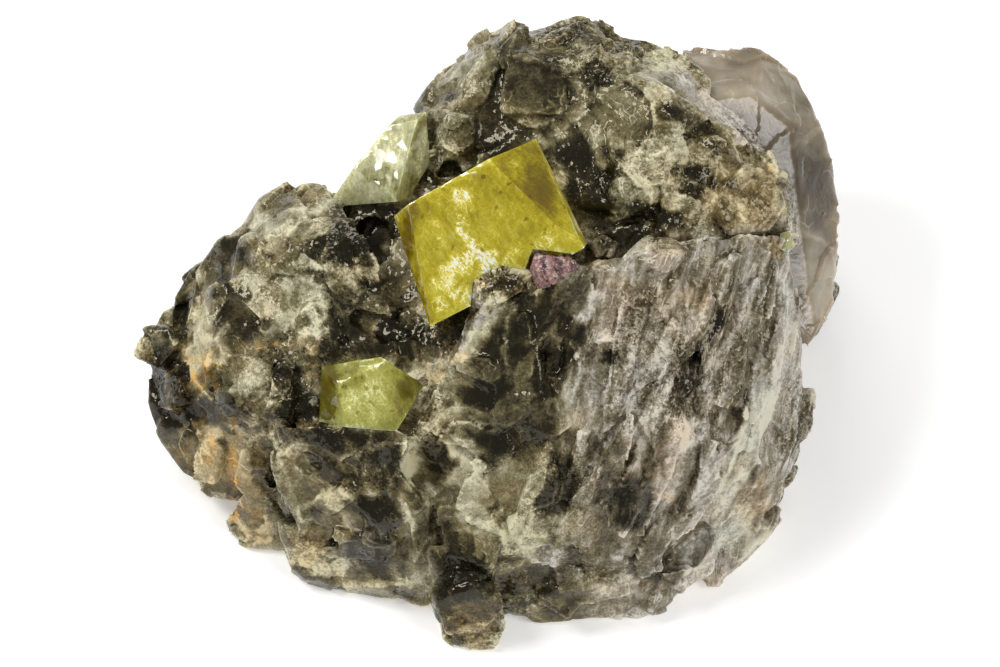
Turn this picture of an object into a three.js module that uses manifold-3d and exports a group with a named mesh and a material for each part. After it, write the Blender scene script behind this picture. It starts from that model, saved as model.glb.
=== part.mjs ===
// A hand specimen of rhodizite: sharp yellow crystals, and one grain of pink tourmaline, set in a broken
// block of smoky quartz and feldspar, with a clear smoky quartz crystal behind it.
// Millimetres, +Z up. The origin is under the middle of the specimen, on the surface that it rests on.
//
// The shapes are laid out on the display face, the side that shows the crystals: u runs right along it, v up
// along it, and w out of it. The face leans back, so the specimen rests on the flat underside of the block.
import * as THREE from "three";
import { ConvexGeometry } from "three/addons/geometries/ConvexGeometry.js";
import { mergeVertices } from "three/addons/utils/BufferGeometryUtils.js";
import Module from "manifold-3d";

// ---- Driving dimensions ----
const FACE_LEAN = 30; // degrees that the display face is tipped back from facing straight up
const FACE_HEIGHT = 11.4; // height of the display face's middle over the resting plane
const GAP = 0.3; // clearance between a crystal and its pocket
const CHIP_COUNT = 84; // broken lumps all over the block
const CHIP_WIDTH = [2.2, 6.0]; // their smallest and largest width
const WAIST = [0.88, 1]; // how wide a mass is at its waist, as a share of its front
const WAIST_DROP = [0.25, 0.6]; // how far down that waist is, as a share of the way to the resting plane
const FLAT_WITHIN = 1.1; // a lump is only seated where the surface under it is flat to within this
const LUMP_TILT = [-0.22, 0.22]; // how far the top of a lump slopes, so that one side is a ledge
const PIT_COUNT = 16; // hollows left by lumps that have broken away
const STREAK_COUNT = 22; // long narrow ridges down the streaked face on the right
const STREAK_LENGTH = [5, 11];
const STREAK_WIDTH = [1.2, 2.6];
const STREAK_TURN = [-22, -8]; // degrees from straight up the face

const FINISHES = {
  matrix: { color: 0x6f675a, roughness: 0.45 },
  smokyQuartz: { color: 0xa79a8c, roughness: 0.2 },
  rhodizite: { color: 0xc9b41e, roughness: 0.15 },
  paleRhodizite: { color: 0xc9cf9a, roughness: 0.25 },
  tourmaline: { color: 0x8a4f5c, roughness: 0.3 },
};

const LEAN = THREE.MathUtils.degToRad(FACE_LEAN);
const UP = new THREE.Vector3(0, Math.sin(LEAN), Math.cos(LEAN)); // straight up, seen from the display face

const wasm = await Module();
wasm.setup();

// ---- Small tools ----

// The same stream of numbers from 0 to 1 on every run.
function seeded(seed) {
  let state = seed;
  return () => {
    state = (state * 16807) % 2147483647;
    return state / 2147483647;
  };
}

const between = (random, [low, high]) => low + (high - low) * random();
const vec = (point) => new THREE.Vector3(...point);
const degrees = THREE.MathUtils.degToRad;

// A convex body round a handful of points.
function hull(points) {
  const geometry = new ConvexGeometry(points);
  geometry.deleteAttribute("normal");
  return mergeVertices(geometry, 1e-4);
}

function solid(geometry) {
  const mesh = new wasm.Mesh({
    numProp: 3,
    vertProperties: geometry.attributes.position.array,
    triVerts: new Uint32Array(geometry.index.array),
  });
  return new wasm.Manifold(mesh);
}

function geometryOf(manifold) {
  const mesh = manifold.getMesh();
  const geometry = new THREE.BufferGeometry();
  geometry.setAttribute("position", new THREE.BufferAttribute(mesh.vertProperties, 3));
  geometry.setIndex(new THREE.BufferAttribute(mesh.triVerts, 1));
  return geometry;
}

// ---- Crystals: flat faces that meet in sharp edges ----

// A face seen from the front. It passes through a point, and climbs by slopeU and slopeV along u and v.
function frontFace(point, slopeU, slopeV) {
  const normal = new THREE.Vector3(-slopeU, -slopeV, 1).normalize();
  return new THREE.Plane().setFromNormalAndCoplanarPoint(normal, vec(point));
}

// The same face on the far side, a thickness behind the first one.
function backFace([u, v, w], slopeU, slopeV, thickness) {
  return frontFace([u, v, w - thickness], slopeU, slopeV).negate();
}

// A side face through two points of the outline, taken clockwise. Lean draws it in towards the back.
function sideFace(from, to, lean = 0.12, w = 7) {
  const normal = new THREE.Vector3(from[1] - to[1], to[0] - from[0], 0).normalize();
  normal.z = -lean;
  return new THREE.Plane().setFromNormalAndCoplanarPoint(normal.normalize(), vec([...from, w]));
}

// The body inside all the faces, each moved outwards by grow.
function crystal(faces, grow = 0) {
  const planes = faces.map((face) => new THREE.Plane(face.normal.clone(), face.constant - grow));
  const corners = [];
  for (const [i, a] of planes.entries())
    for (const [j, b] of planes.slice(0, i).entries())
      for (const c of planes.slice(0, j)) {
        const corner = meetingPoint(a, b, c);
        if (corner && planes.every((plane) => plane.distanceToPoint(corner) < 1e-6)) corners.push(corner);
      }
  return hull(corners);
}

function meetingPoint(a, b, c) {
  const sides = new THREE.Matrix3();
  sides.set(...a.normal.toArray(), ...b.normal.toArray(), ...c.normal.toArray());
  if (Math.abs(sides.determinant()) < 1e-5) return null;
  return new THREE.Vector3(-a.constant, -b.constant, -c.constant).applyMatrix3(sides.invert());
}

const MAIN_CRYSTAL = [
  frontFace([-0.5, 11.9, 9.6], 0.238, 0.006),
  frontFace([-0.5, 11.9, 9.6], -0.393, -0.625),
  frontFace([3.8, 7.6, 10.6], -0.061, -0.031),
  frontFace([-6.3, 8.7, 8.2], 1.735, 0.295),
  frontFace([2.5, 13.4, 7.5], -3.669, -2.045),
  sideFace([-7.5, 8.3], [2.4, 13.5]),
  sideFace([2.6, 13.5], [5.9, 6.6], 0),
  sideFace([5.9, 6.5], [-4.8, 0.8]),
  sideFace([-4.8, 0.9], [-7.5, 8.3]),
  backFace([-0.5, 11.9, 9.6], 0.238, 0.006, 6.2),
  backFace([-0.5, 11.9, 9.6], -0.393, -0.625, 13.5),
];

const LOWER_CRYSTAL = [
  frontFace([-9.0, -4.3, 6.6], 0.04, -0.08),
  frontFace([-11.0, -4.0, 6.6], 0.95, 0.1),
  frontFace([-10.8, -3.4, 6.6], 0.3, -0.63),
  frontFace([-7.8, -2.4, 6.5], -0.62, -0.35),
  sideFace([-12.7, -2.0], [-8.3, -1.4]),
  sideFace([-8.3, -1.4], [-5.0, -3.4]),
  sideFace([-5.0, -3.4], [-7.2, -6.7]),
  sideFace([-7.2, -6.7], [-12.9, -6.3]),
  sideFace([-12.9, -6.3], [-12.6, -2.0]),
  backFace([-9.0, -4.3, 6.6], 0.04, -0.08, 4.4),
];

const UPPER_CRYSTAL = [
  frontFace([-6.2, 13.5, 4.9], 0.28, -0.12),
  frontFace([-5.8, 15.2, 4.9], -0.88, 0.19),
  frontFace([-7.9, 14.5, 4.4], 0.55, -1.5),
  frontFace([-9.9, 11.0, 3.9], 0.75, 0.5),
  sideFace([-11.7, 9.8], [-7.0, 15.2], 0.12, 3),
  sideFace([-7.3, 15.2], [-5.2, 15.4], 0.12, 3),
  sideFace([-5.3, 15.6], [-4.9, 12.0], 0.12, 3),
  sideFace([-4.9, 12.0], [-6.5, 9.6], 0.12, 3),
  sideFace([-6.5, 9.6], [-11.7, 8.8], 0.12, 3),
  backFace([-6.2, 13.5, 4.9], 0.28, -0.12, 4.6),
];

// The clear smoky quartz crystal behind the upper right corner.
const SMOKY_CRYSTAL = [
  frontFace([19, 13, 0.8], -0.25, 0.1),
  frontFace([21.2, 9, -0.2], -1.1, -0.02),
  frontFace([20.5, 17, -1.5], -1.0, -0.9),
  frontFace([16, 19, -0.8], -0.1, -1.2),
  sideFace([13.6, 20.2], [18.0, 20.3], 0.1, -3),
  sideFace([17.7, 20.4], [21.4, 18.2], 0.1, -4),
  sideFace([21.2, 18.4], [23.0, 14.0], 0.1, -4),
  sideFace([22.9, 14.4], [23.8, 9.1], 0.1, -5),
  sideFace([23.8, 9.6], [23.4, 2.4], 0.1, -6),
  sideFace([23.7, 2.8], [21.2, -0.9], 0.1, -6),
  sideFace([21.6, -0.6], [14.8, 4.0], 0.1, -4),
  sideFace([15.6, 3.0], [12.8, 20.6], 0.1, -4),
  backFace([19, 13, 0.8], -0.25, 0.1, 9.5),
];

const TOURMALINE_GRAIN = [
  frontFace([3.4, 4.6, 11.2], 0.25, -0.35),
  frontFace([3.4, 4.6, 11.2], -0.45, -0.2),
  frontFace([2.8, 4.2, 10.9], 0.9, 0.6),
  sideFace([2.0, 4.4], [2.5, 5.7], 0, 10),
  sideFace([2.3, 5.6], [4.8, 5.3], 0, 10),
  sideFace([4.6, 5.4], [5.7, 4.6], 0, 10),
  sideFace([5.6, 4.8], [3.9, 3.7], 0, 10),
  sideFace([4.2, 3.7], [2.6, 3.2], 0, 10),
  sideFace([2.7, 3.2], [2.0, 4.5], 0, 10),
  backFace([3.4, 4.6, 11.2], 0.25, -0.35, 3.2),
];

const RIGHT_GRAIN = [
  frontFace([20.0, 6.4, 5.4], 0.3, -0.4),
  frontFace([20.0, 6.4, 5.4], -0.9, 0.2),
  sideFace([19.5, 7.1], [20.3, 7.3], 0, 5),
  sideFace([20.2, 7.4], [20.5, 6.2], 0, 5),
  sideFace([20.6, 6.3], [20.0, 5.6], 0, 5),
  sideFace([20.1, 5.6], [19.4, 6.0], 0, 5),
  sideFace([19.4, 5.9], [19.5, 7.2], 0, 5),
  backFace([20.0, 6.4, 5.4], 0.3, -0.4, 2.6),
];

// A ledge of rock that laps over the lower edge of the large crystal.
const LEDGE = [
  frontFace([0, 3.6, 10.15], 0.32, -0.15),
  frontFace([-0.4, 4.2, 9.9], 0.1, -1.1),
  sideFace([-1.7, 2.0], [-1.6, 3.4], 0),
  sideFace([-1.6, 3.4], [-0.4, 4.2], 0),
  sideFace([-0.4, 4.2], [0.3, 4.45], 0),
  sideFace([0.3, 4.45], [1.5, 4.25], 0),
  sideFace([1.5, 4.25], [1.7, 3.0], 0),
  sideFace([1.7, 3.0], [-0.2, 2.0], 0),
  sideFace([-0.2, 2.0], [-1.7, 2.0], 0),
  backFace([0, 3.6, 10.15], 0.32, -0.15, 1.8),
];

// ---- The block: a few large masses, each bounded by flat breaks ----

// Points on the front of each mass. Its foot stands straight below them, drawn in to a share of its width.
const MASSES = {
  upperMass: {
    foot: 0.8,
    front: [
      [-6.0, 15.9, 0.0], [-4.9, 17.3, 0.0], [-3.2, 19.2, 0.0], [-0.7, 20.9, 0.3], [4.9, 21.8, 0.5],
      [10.1, 20.6, 0.8], [14.0, 18.9, 1.2], [17.5, 14.5, 2.2], [20.2, 10.5, 3.0], [20.9, 7.0, 3.0],
      [-3.6, 15.6, 4.3], [0.0, 18.8, 4.4], [5.0, 19.4, 5.0], [10.5, 17.6, 6.0], [15.6, 12.4, 6.0],
      [18.9, 8.5, 5.6], [1.5, 11.5, 6.0], [8.5, 8.5, 7.2], [-4.6, 11.0, 4.0],
    ],
  },
  streakedMass: {
    foot: 0.86,
    front: [
      [-1.6, 2.6, 8.2], [1.0, 3.9, 9.6], [4.2, 3.6, 10.3], [9.6, 5.0, 10.4], [14.2, 6.7, 9.2],
      [20.0, 6.9, 5.6], [21.1, -0.2, 1.0], [21.4, -6.7, -0.4], [20.4, -8.6, -0.8], [19.2, -11.9, -1.0],
      [18.2, -14.0, -1.6], [13.9, -16.8, -1.4], [12.1, -18.7, -1.4], [9.8, -20.0, -1.4], [3.0, -20.0, -1.2],
      [-2.6, -18.6, 0.4], [-5.6, -17.0, 0.6], [-6.2, -7.2, 6.6], [-3.2, -2.4, 7.8], [2.0, -10.0, 7.0],
      [8.0, -8.0, 7.8], [14.0, -6.0, 7.2], [10.0, -15.0, 4.0], [0.0, -16.0, 3.6], [17.4, -1.5, 6.0],
      [18.3, -8.5, 3.4],
    ],
  },
  leftMass: {
    foot: 0.7,
    front: [
      [-24.9, -1.4, -3.6], [-23.5, 0.9, -3.0], [-20.9, 3.5, -1.6], [-19.6, 6.6, -0.8], [-16.4, 9.0, 0.0],
      [-13.8, 10.5, 0.4], [-12.3, 10.6, 0.8], [-24.9, -4.8, -4.0], [-23.9, -7.4, -4.4], [-22.4, -9.8, -4.4],
      [-20.0, -11.6, -3.6], [-15.4, -12.6, -3.0], [-18.6, 2.6, 3.0], [-14.0, 6.4, 4.6], [-9.4, 7.0, 5.4],
      [-7.4, 1.0, 6.0], [-7.0, -3.0, 5.8], [-14.8, -5.6, 4.6], [-20.0, -4.0, 1.8],
    ],
  },
  stepBlock: {
    foot: 0.9,
    front: [
      [-15.9, -6.4, 4.6], [-15.2, -6.3, 6.2], [-10.0, -6.5, 6.8], [-5.8, -6.9, 7.2], [-14.6, -16.3, -1.4],
      [-13.8, -16.9, -1.2], [-9.6, -16.8, -0.8], [-4.6, -17.8, 0.4], [-15.5, -11.5, 2.2], [-8.0, -12.5, 4.2],
    ],
  },
  foot: {
    foot: 0.9,
    front: [
      [-5.0, -14.8, 4.0], [-0.6, -14.8, 4.4], [-4.1, -21.3, -0.2], [-2.7, -22.0, 0.0], [-0.3, -21.8, 0.4],
      [0.3, -20.0, 1.6], [-3.0, -18.4, 2.6],
    ],
  },
  lowerLeftLump: {
    foot: 0.9,
    front: [
      [-19.5, -13.2, -4.0], [-17.9, -14.7, -3.8], [-15.2, -15.0, -3.4], [-14.8, -11.6, -0.6],
      [-18.6, -12.0, -2.6], [-17.0, -9.4, 1.0],
    ],
  },
  niche: {
    foot: 0.8,
    front: [
      [-10.6, 8.4, 1.4], [-8.5, 11.0, 1.6], [-5.8, 14.6, 1.6], [2.0, 15.0, 4.0], [12.0, 9.6, 6.4],
      [18.5, 7.4, 5.4], [15.0, 6.0, 6.0], [6.0, 3.0, 6.4], [0.0, 1.0, 6.0], [-5.0, -4.0, 5.5],
      [-10.0, -5.0, 5.0], [-13.0, -2.0, 4.0], [-12.0, 6.0, 2.8], [-4.6, -7.2, 6.0], [-7.6, -7.2, 5.4],
      [-14.2, -6.4, 4.6],
    ],
  },
  heart: {
    foot: 0.9,
    front: [
      [-12.4, 9.8, -0.2], [-4.0, 14.0, 1.0], [10.0, 14.0, 3.0], [15.0, 2.0, 3.0], [4.0, -11.0, 2.0],
      [-4.0, -14.0, 1.0], [-12.0, -12.5, 0.0], [-18.0, -2.0, -1.0],
    ],
  },
  backRidge: {
    foot: 0.85,
    front: [
      [11.5, 20.3, -0.8], [14.0, 19.6, -1.2], [14.5, 16.0, 0.5], [19.0, 8.0, 0.5], [21.0, -1.0, -1.0],
      [12.0, 10.0, 2.0], [14.0, -8.0, -1.0],
    ],
  },
  backCorner: {
    foot: 0.88,
    front: [
      [12.0, 19.0, -5.0], [17.6, 19.2, -7.0], [20.8, 16.8, -8.0], [22.6, 12.8, -8.6], [23.0, 8.0, -9.0],
      [22.6, 3.2, -8.6], [20.8, 0.0, -6.5], [12.0, 4.0, -4.0],
    ],
  },
};

// A point part of the way down to the resting plane, drawn in towards the axis of its mass.
function lowered(point, axis, share, width) {
  const height = point.dot(UP) + FACE_HEIGHT;
  const outwards = point.clone().sub(axis).projectOnPlane(UP);
  return point.clone().addScaledVector(UP, -share * height).addScaledVector(outwards, width - 1);
}

function mass({ foot, front }) {
  const random = seeded(front.length);
  const points = front.map(vec);
  const axis = points.reduce((sum, point) => sum.add(point), new THREE.Vector3());
  axis.divideScalar(points.length);
  const waist = points.map((point) => {
    const [share, width] = [between(random, WAIST_DROP), between(random, WAIST)];
    return lowered(point, axis, share, width);
  });
  const base = points.map((point) => lowered(point, axis, 1.1, foot));
  return solid(hull([...points, ...waist, ...base]));
}

// ---- Broken lumps: a blunt many-sided body, half sunk in the surface ----

const ray = new THREE.Raycaster();

// A frame on the surface: its z points out of the surface, and its y runs up the face, then turned.
function seat(surface, origin, direction, turn) {
  ray.set(origin, direction.normalize());
  const hit = ray.intersectObject(surface)[0];
  if (!hit) return null;
  const out = hit.face.normal;
  const along = new THREE.Vector3(0, 1, 0).projectOnPlane(out).normalize();
  const frame = new THREE.Matrix4().makeBasis(along.clone().cross(out), along, out);
  return frame.multiply(new THREE.Matrix4().makeRotationZ(turn)).setPosition(hit.point);
}

// Whether the surface round a seat is flat enough for a lump this wide and this long.
function liesFlat(surface, frame, width, length) {
  const out = new THREE.Vector3().setFromMatrixColumn(frame, 2);
  return [[1, 0], [-1, 0], [0, 1], [0, -1]].every(([x, y]) => {
    const above = new THREE.Vector3(0.4 * x * width, 0.4 * y * length, FLAT_WITHIN).applyMatrix4(frame);
    ray.set(above, out.clone().negate());
    const hit = ray.intersectObject(surface)[0];
    return hit && hit.distance < 2 * FLAT_WITHIN;
  });
}

const FRONT = new THREE.Vector3(0, 0, -1); // looking into the display face

const onFront = (surface, [u, v], turn) => seat(surface, new THREE.Vector3(u, v, 60), FRONT.clone(), turn);

// A ring of corners, set in and out by the seeded numbers, so that no two lumps are alike.
function ring(sides, width, length, height, random, tilt = [0, 0]) {
  const first = random();
  return Array.from({ length: sides }, (_, i) => {
    const angle = ((i + first + 0.5 * random()) / sides) * 2 * Math.PI;
    const reach = 0.5 * (0.85 + 0.3 * random());
    const [x, y] = [Math.cos(angle) * width * reach, Math.sin(angle) * length * reach];
    return new THREE.Vector3(x, y, height + tilt[0] * x + tilt[1] * y);
  });
}

function lump(frame, { width, length, rise, sides = 5, tilt }, random) {
  const depth = 0.5 * Math.min(width, length);
  const slope = tilt ?? [between(random, LUMP_TILT), between(random, LUMP_TILT)];
  const points = [
    ...ring(sides, 0.88 * width, 0.9 * length, rise, random, slope),
    ...ring(sides, width, length, -0.4 * rise, random, slope),
    ...ring(3, 0.5 * width, 0.6 * length, -depth, random),
  ];
  return solid(hull(points.map((point) => point.applyMatrix4(frame))));
}

// The blocks that stand out on the display face: where, how wide and long, how high, and turned how far.
const BLOCKS = [
  { name: "top block", at: [2.4, 17.4], width: 6.0, length: 5.6, rise: 0.7, turn: 4, sides: 4 },
  { name: "top right sliver", at: [6.6, 18.4], width: 2.0, length: 4.6, rise: 0.6, turn: -8, sides: 4 },
  { name: "top left slab", at: [-1.6, 17.2], width: 2.6, length: 4.6, rise: 0.5, turn: -30, sides: 4 },
  { name: "shoulder", at: [-2.6, 13.8], width: 3.6, length: 3.2, rise: 0.9, turn: 20, sides: 5 },
  { name: "upper plate", at: [9.8, 16.0], width: 8.0, length: 4.6, rise: 0.6, turn: -30, sides: 5 },
  { name: "ridge sliver", at: [14.2, 15.0], width: 1.6, length: 9.0, rise: 0.6, turn: 47, sides: 4 },
  { name: "cream lump", at: [10.2, 11.2], width: 3.8, length: 3.2, rise: 0.9, turn: 15, sides: 5 },
  { name: "cross bar", at: [13.0, 13.0], width: 6.2, length: 1.8, rise: 0.5, turn: 5, sides: 5 },
  { name: "rounded lump", at: [17.0, 9.3], width: 5.6, length: 4.8, rise: 1.1, turn: 10, sides: 7 },
  { name: "beige grain", at: [7.2, 5.9], width: 2.2, length: 2.0, rise: 1.2, turn: 0, sides: 5 },
  { name: "ridge block", at: [10.6, 5.4], width: 5.4, length: 2.6, rise: 0.8, turn: 15, sides: 5 },
  { name: "pale blade", at: [-1.9, 0.2], width: 1.2, length: 5.6, rise: 0.5, turn: -33, sides: 4 },
  { name: "long block", at: [0.6, -3.6], width: 4.6, length: 8.0, rise: 0.5, turn: -36, sides: 5 },
  { name: "brown lump", at: [-1.8, -10.2], width: 3.6, length: 5.6, rise: 0.7, turn: 6, sides: 6 },
  { name: "step slab", at: [-5.6, -12.0], width: 1.9, length: 9.0, rise: 0.8, turn: 2, sides: 5 },
  { name: "pale tablet", at: [-10.9, -11.0], width: 3.4, length: 2.0, rise: 0.8, turn: 25, sides: 4 },
  { name: "step lump", at: [-8.4, -14.4], width: 3.4, length: 2.8, rise: 0.8, turn: -10, sides: 5 },
  { name: "step edge", at: [-14.6, -11.0], width: 1.8, length: 8.0, rise: 0.6, turn: 3, sides: 4 },
  { name: "left plate", at: [-17.4, 2.0], width: 7.2, length: 4.8, rise: 0.8, turn: -10, sides: 6 },
  { name: "upper left plate", at: [-15.7, 6.8], width: 6.0, length: 3.4, rise: 0.5, turn: 38, sides: 5 },
  { name: "left slab", at: [-10.8, 4.6], width: 3.6, length: 5.4, rise: 0.7, turn: 12, sides: 5 },
  { name: "tip", at: [-23.4, -0.8], width: 4.4, length: 3.2, rise: 1.2, turn: 30, sides: 5 },
  { name: "tip lump", at: [-22.6, -4.0], width: 3.4, length: 3.4, rise: 1.0, turn: 0, sides: 6 },
  { name: "orange column", at: [-19.6, -1.6], width: 2.0, length: 5.4, rise: 0.6, turn: -8, sides: 5 },
  { name: "dark prism", at: [-14.9, -4.2], width: 2.6, length: 4.4, rise: 1.4, turn: 4, sides: 4 },
  { name: "orange lump", at: [-20.8, -8.0], width: 4.4, length: 4.6, rise: 0.8, turn: 20, sides: 6 },
  { name: "lower slab", at: [-17.4, -9.4], width: 2.8, length: 5.6, rise: 0.9, turn: -6, sides: 4 },
  { name: "dark ledge", at: [-7.2, -0.6], width: 4.4, length: 2.2, rise: 0.7, turn: -35, sides: 5 },
  { name: "foot slab", at: [-2.3, -18.2], width: 3.2, length: 6.0, rise: 0.4, turn: 4, sides: 5 },
  { name: "lower edge", at: [6.0, -17.6], width: 7.0, length: 2.4, rise: 0.8, turn: 4, sides: 5 },
  { name: "right rib", at: [19.0, 0.0], width: 1.6, length: 10.0, rise: 0.7, turn: -6, sides: 5 },
];

// The hollows of the display face, as deep as rise is high on a block.
const HOLLOWS = [
  { name: "left of the crystal", at: [-8.9, 6.4], width: 3.2, length: 4.2, rise: 1.5, turn: 20, sides: 6 },
  { name: "over the lower one", at: [-8.6, 0.6], width: 5.0, length: 2.0, rise: 1.4, turn: -20, sides: 5 },
  { name: "above the crystal", at: [-3.0, 11.8], width: 4.0, length: 1.6, rise: 1.2, turn: 28, sides: 5 },
  { name: "dark notch", at: [3.6, -1.4], width: 2.4, length: 3.6, rise: 0.5, turn: -10, sides: 6 },
  { name: "dark slot", at: [13.2, -2.6], width: 2.4, length: 5.0, rise: 0.6, turn: -12, sides: 5 },
  { name: "step recess", at: [-12.4, -14.2], width: 3.6, length: 2.2, rise: 0.6, turn: 10, sides: 6 },
  { name: "under the tip", at: [-21.4, -5.6], width: 2.4, length: 2.0, rise: 0.6, turn: 0, sides: 5 },
];

function namedLumps(surface, list, side) {
  const random = seeded(41);
  return list.map((one) => {
    const frame = onFront(surface, one.at, degrees(one.turn));
    return lump(frame.multiply(new THREE.Matrix4().makeScale(side, 1, side)), one, random);
  });
}

// Long ridges, all along one grain, on the streaked face.
function streaks(surface) {
  const random = seeded(7);
  const found = [];
  while (found.length < STREAK_COUNT) {
    const at = [between(random, [1, 19.5]), between(random, [-16, 3])];
    const frame = onFront(surface, at, degrees(between(random, STREAK_TURN)));
    const width = between(random, STREAK_WIDTH);
    const length = between(random, STREAK_LENGTH);
    if (!frame || !liesFlat(surface, frame, width, length)) continue;
    found.push(lump(frame, { width, length, rise: 0.3 * width }, random));
  }
  return found;
}

// Lumps scattered over the whole block, seated along lines from all round it towards its middle.
function scattered(surface, count, widths, seed, side) {
  const random = seeded(seed);
  const found = [];
  while (found.length < count) {
    const polar = Math.acos(2 * random() - 1);
    const origin = new THREE.Vector3().setFromSphericalCoords(70, polar, 2 * Math.PI * random());
    const aim = new THREE.Vector3(between(random, [-14, 14]), between(random, [-10, 10]), -6);
    const frame = seat(surface, origin, aim.sub(origin), random() * Math.PI);
    const width = between(random, widths);
    const length = width * between(random, [0.7, 1.6]);
    if (!frame || inTheWay(frame) || !liesFlat(surface, frame, width, length)) continue;
    frame.multiply(new THREE.Matrix4().makeScale(side, 1, side));
    found.push(lump(frame, { width, length, rise: 0.3 + 0.06 * width }, random));
  }
  return found;
}

// ---- Assembly ----

const CRYSTALS = [MAIN_CRYSTAL, LOWER_CRYSTAL, UPPER_CRYSTAL, SMOKY_CRYSTAL, TOURMALINE_GRAIN, RIGHT_GRAIN];
const clearings = CRYSTALS.slice(0, 3).map((faces) => new THREE.Box3().setFromBufferAttribute(
  crystal(faces, 0.5).attributes.position,
));

// Whether a lump seated here would cover a crystal, or stand on the underside.
function inTheWay(frame) {
  const place = new THREE.Vector3().setFromMatrixPosition(frame);
  const outwards = new THREE.Vector3().setFromMatrixColumn(frame, 2);
  const covers = clearings.some((box) => box.distanceToPoint(place) < 1 && outwards.z > 0);
  return covers || place.dot(UP) < 1 - FACE_HEIGHT;
}

// Everything under the resting plane, as a slab to cut away.
function underTheRest() {
  const slab = new THREE.BoxGeometry(160, 160, 80).deleteAttribute("normal").deleteAttribute("uv");
  slab.translate(0, 0, -40 - FACE_HEIGHT).rotateX(-LEAN);
  return solid(mergeVertices(slab, 1e-4));
}

function matrixBlock() {
  const core = wasm.Manifold.union(Object.values(MASSES).map(mass));
  const surface = new THREE.Mesh(geometryOf(core), new THREE.MeshBasicMaterial());
  const added = [
    ...namedLumps(surface, BLOCKS, 1),
    ...streaks(surface),
    ...scattered(surface, CHIP_COUNT, CHIP_WIDTH, 11, 1),
  ];
  const cut = [
    ...namedLumps(surface, HOLLOWS, -1),
    ...scattered(surface, PIT_COUNT, CHIP_WIDTH, 23, -1),
    ...CRYSTALS.map((faces) => solid(crystal(faces, GAP))),
    underTheRest(),
  ];
  const whole = wasm.Manifold.union([core, ...added]).subtract(wasm.Manifold.union(cut));
  // Splinters that the pockets leave loose are dropped.
  return whole.add(solid(crystal(LEDGE))).decompose().sort((a, b) => b.volume() - a.volume())[0];
}

const specimen = new THREE.Group();
const displayFace = new THREE.Group();
displayFace.rotation.x = LEAN;
specimen.add(displayFace);

function addPiece(name, geometry, finish) {
  const piece = new THREE.Mesh(geometry, new THREE.MeshStandardMaterial({ metalness: 0, ...finish }));
  piece.name = name;
  displayFace.add(piece);
}

addPiece("quartz_matrix", geometryOf(matrixBlock()), FINISHES.matrix);
// The tourmaline bites into the edge of the large crystal.
const overIt = wasm.Manifold.union([TOURMALINE_GRAIN, LEDGE].map((faces) => solid(crystal(faces, GAP))));
const bitten = solid(crystal(MAIN_CRYSTAL)).subtract(overIt);
addPiece("rhodizite_main", geometryOf(bitten), FINISHES.rhodizite);
addPiece("rhodizite_lower", crystal(LOWER_CRYSTAL), FINISHES.rhodizite);
addPiece("rhodizite_upper", crystal(UPPER_CRYSTAL), FINISHES.paleRhodizite);
addPiece("rhodizite_grain", crystal(RIGHT_GRAIN), FINISHES.paleRhodizite);
addPiece("tourmaline_grain", crystal(TOURMALINE_GRAIN), FINISHES.tourmaline);
addPiece("smoky_crystal", crystal(SMOKY_CRYSTAL), FINISHES.smokyQuartz);

specimen.updateMatrixWorld(true);
const box = new THREE.Box3().setFromObject(specimen, true);
const middle = box.getCenter(new THREE.Vector3());
specimen.position.set(-middle.x, -middle.y, -box.min.z);

export default specimen;
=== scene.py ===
"""Looks of the rhodizite specimen: yellow crystals in a broken block of smoky quartz and feldspar."""

import math

import bmesh
import bpy
import numpy as np
from bpy.props import FloatProperty, FloatVectorProperty, IntProperty, PointerProperty
from mathutils import Matrix, Vector
from mathutils.bvhtree import BVHTree


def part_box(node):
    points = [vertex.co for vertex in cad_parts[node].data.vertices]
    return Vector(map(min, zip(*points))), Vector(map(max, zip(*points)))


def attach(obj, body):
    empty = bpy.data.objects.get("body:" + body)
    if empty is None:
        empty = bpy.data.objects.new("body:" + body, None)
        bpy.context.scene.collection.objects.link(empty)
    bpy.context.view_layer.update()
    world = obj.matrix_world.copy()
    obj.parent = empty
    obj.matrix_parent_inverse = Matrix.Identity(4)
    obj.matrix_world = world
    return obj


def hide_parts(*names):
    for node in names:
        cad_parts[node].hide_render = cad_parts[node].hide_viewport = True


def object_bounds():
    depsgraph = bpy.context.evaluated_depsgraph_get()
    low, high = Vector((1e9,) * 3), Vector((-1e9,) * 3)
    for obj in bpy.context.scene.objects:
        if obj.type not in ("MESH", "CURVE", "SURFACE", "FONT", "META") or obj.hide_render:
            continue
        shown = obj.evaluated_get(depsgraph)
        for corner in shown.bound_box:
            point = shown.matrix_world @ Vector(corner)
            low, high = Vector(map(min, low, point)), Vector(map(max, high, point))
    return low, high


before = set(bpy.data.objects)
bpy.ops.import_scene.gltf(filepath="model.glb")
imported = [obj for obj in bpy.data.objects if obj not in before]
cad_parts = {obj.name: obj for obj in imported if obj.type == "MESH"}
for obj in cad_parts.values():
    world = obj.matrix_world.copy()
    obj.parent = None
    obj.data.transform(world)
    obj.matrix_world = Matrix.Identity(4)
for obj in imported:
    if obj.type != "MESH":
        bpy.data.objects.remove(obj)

bl_info = {
    "name": "Rhodizite specimen",
    "version": (1, 0, 0),
    "blender": (4, 5, 0),
    "location": "View3D > Sidebar > Specimen",
    "description": "Dresses the solids of a mineral specimen with broken relief and clear crystals",
    "category": "Object",
}

CAD_BOX = [list(corner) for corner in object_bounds()]
MM = 0.001

# The display face shows the crystals. On it, u runs right, v up and w out, in millimetres.
FACE_LEAN = math.radians(30)
FACE_MIDDLE = Vector((0.760, -0.982, 11.400))
TO_FACE = Matrix.Rotation(-FACE_LEAN, 3, "X")

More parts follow.
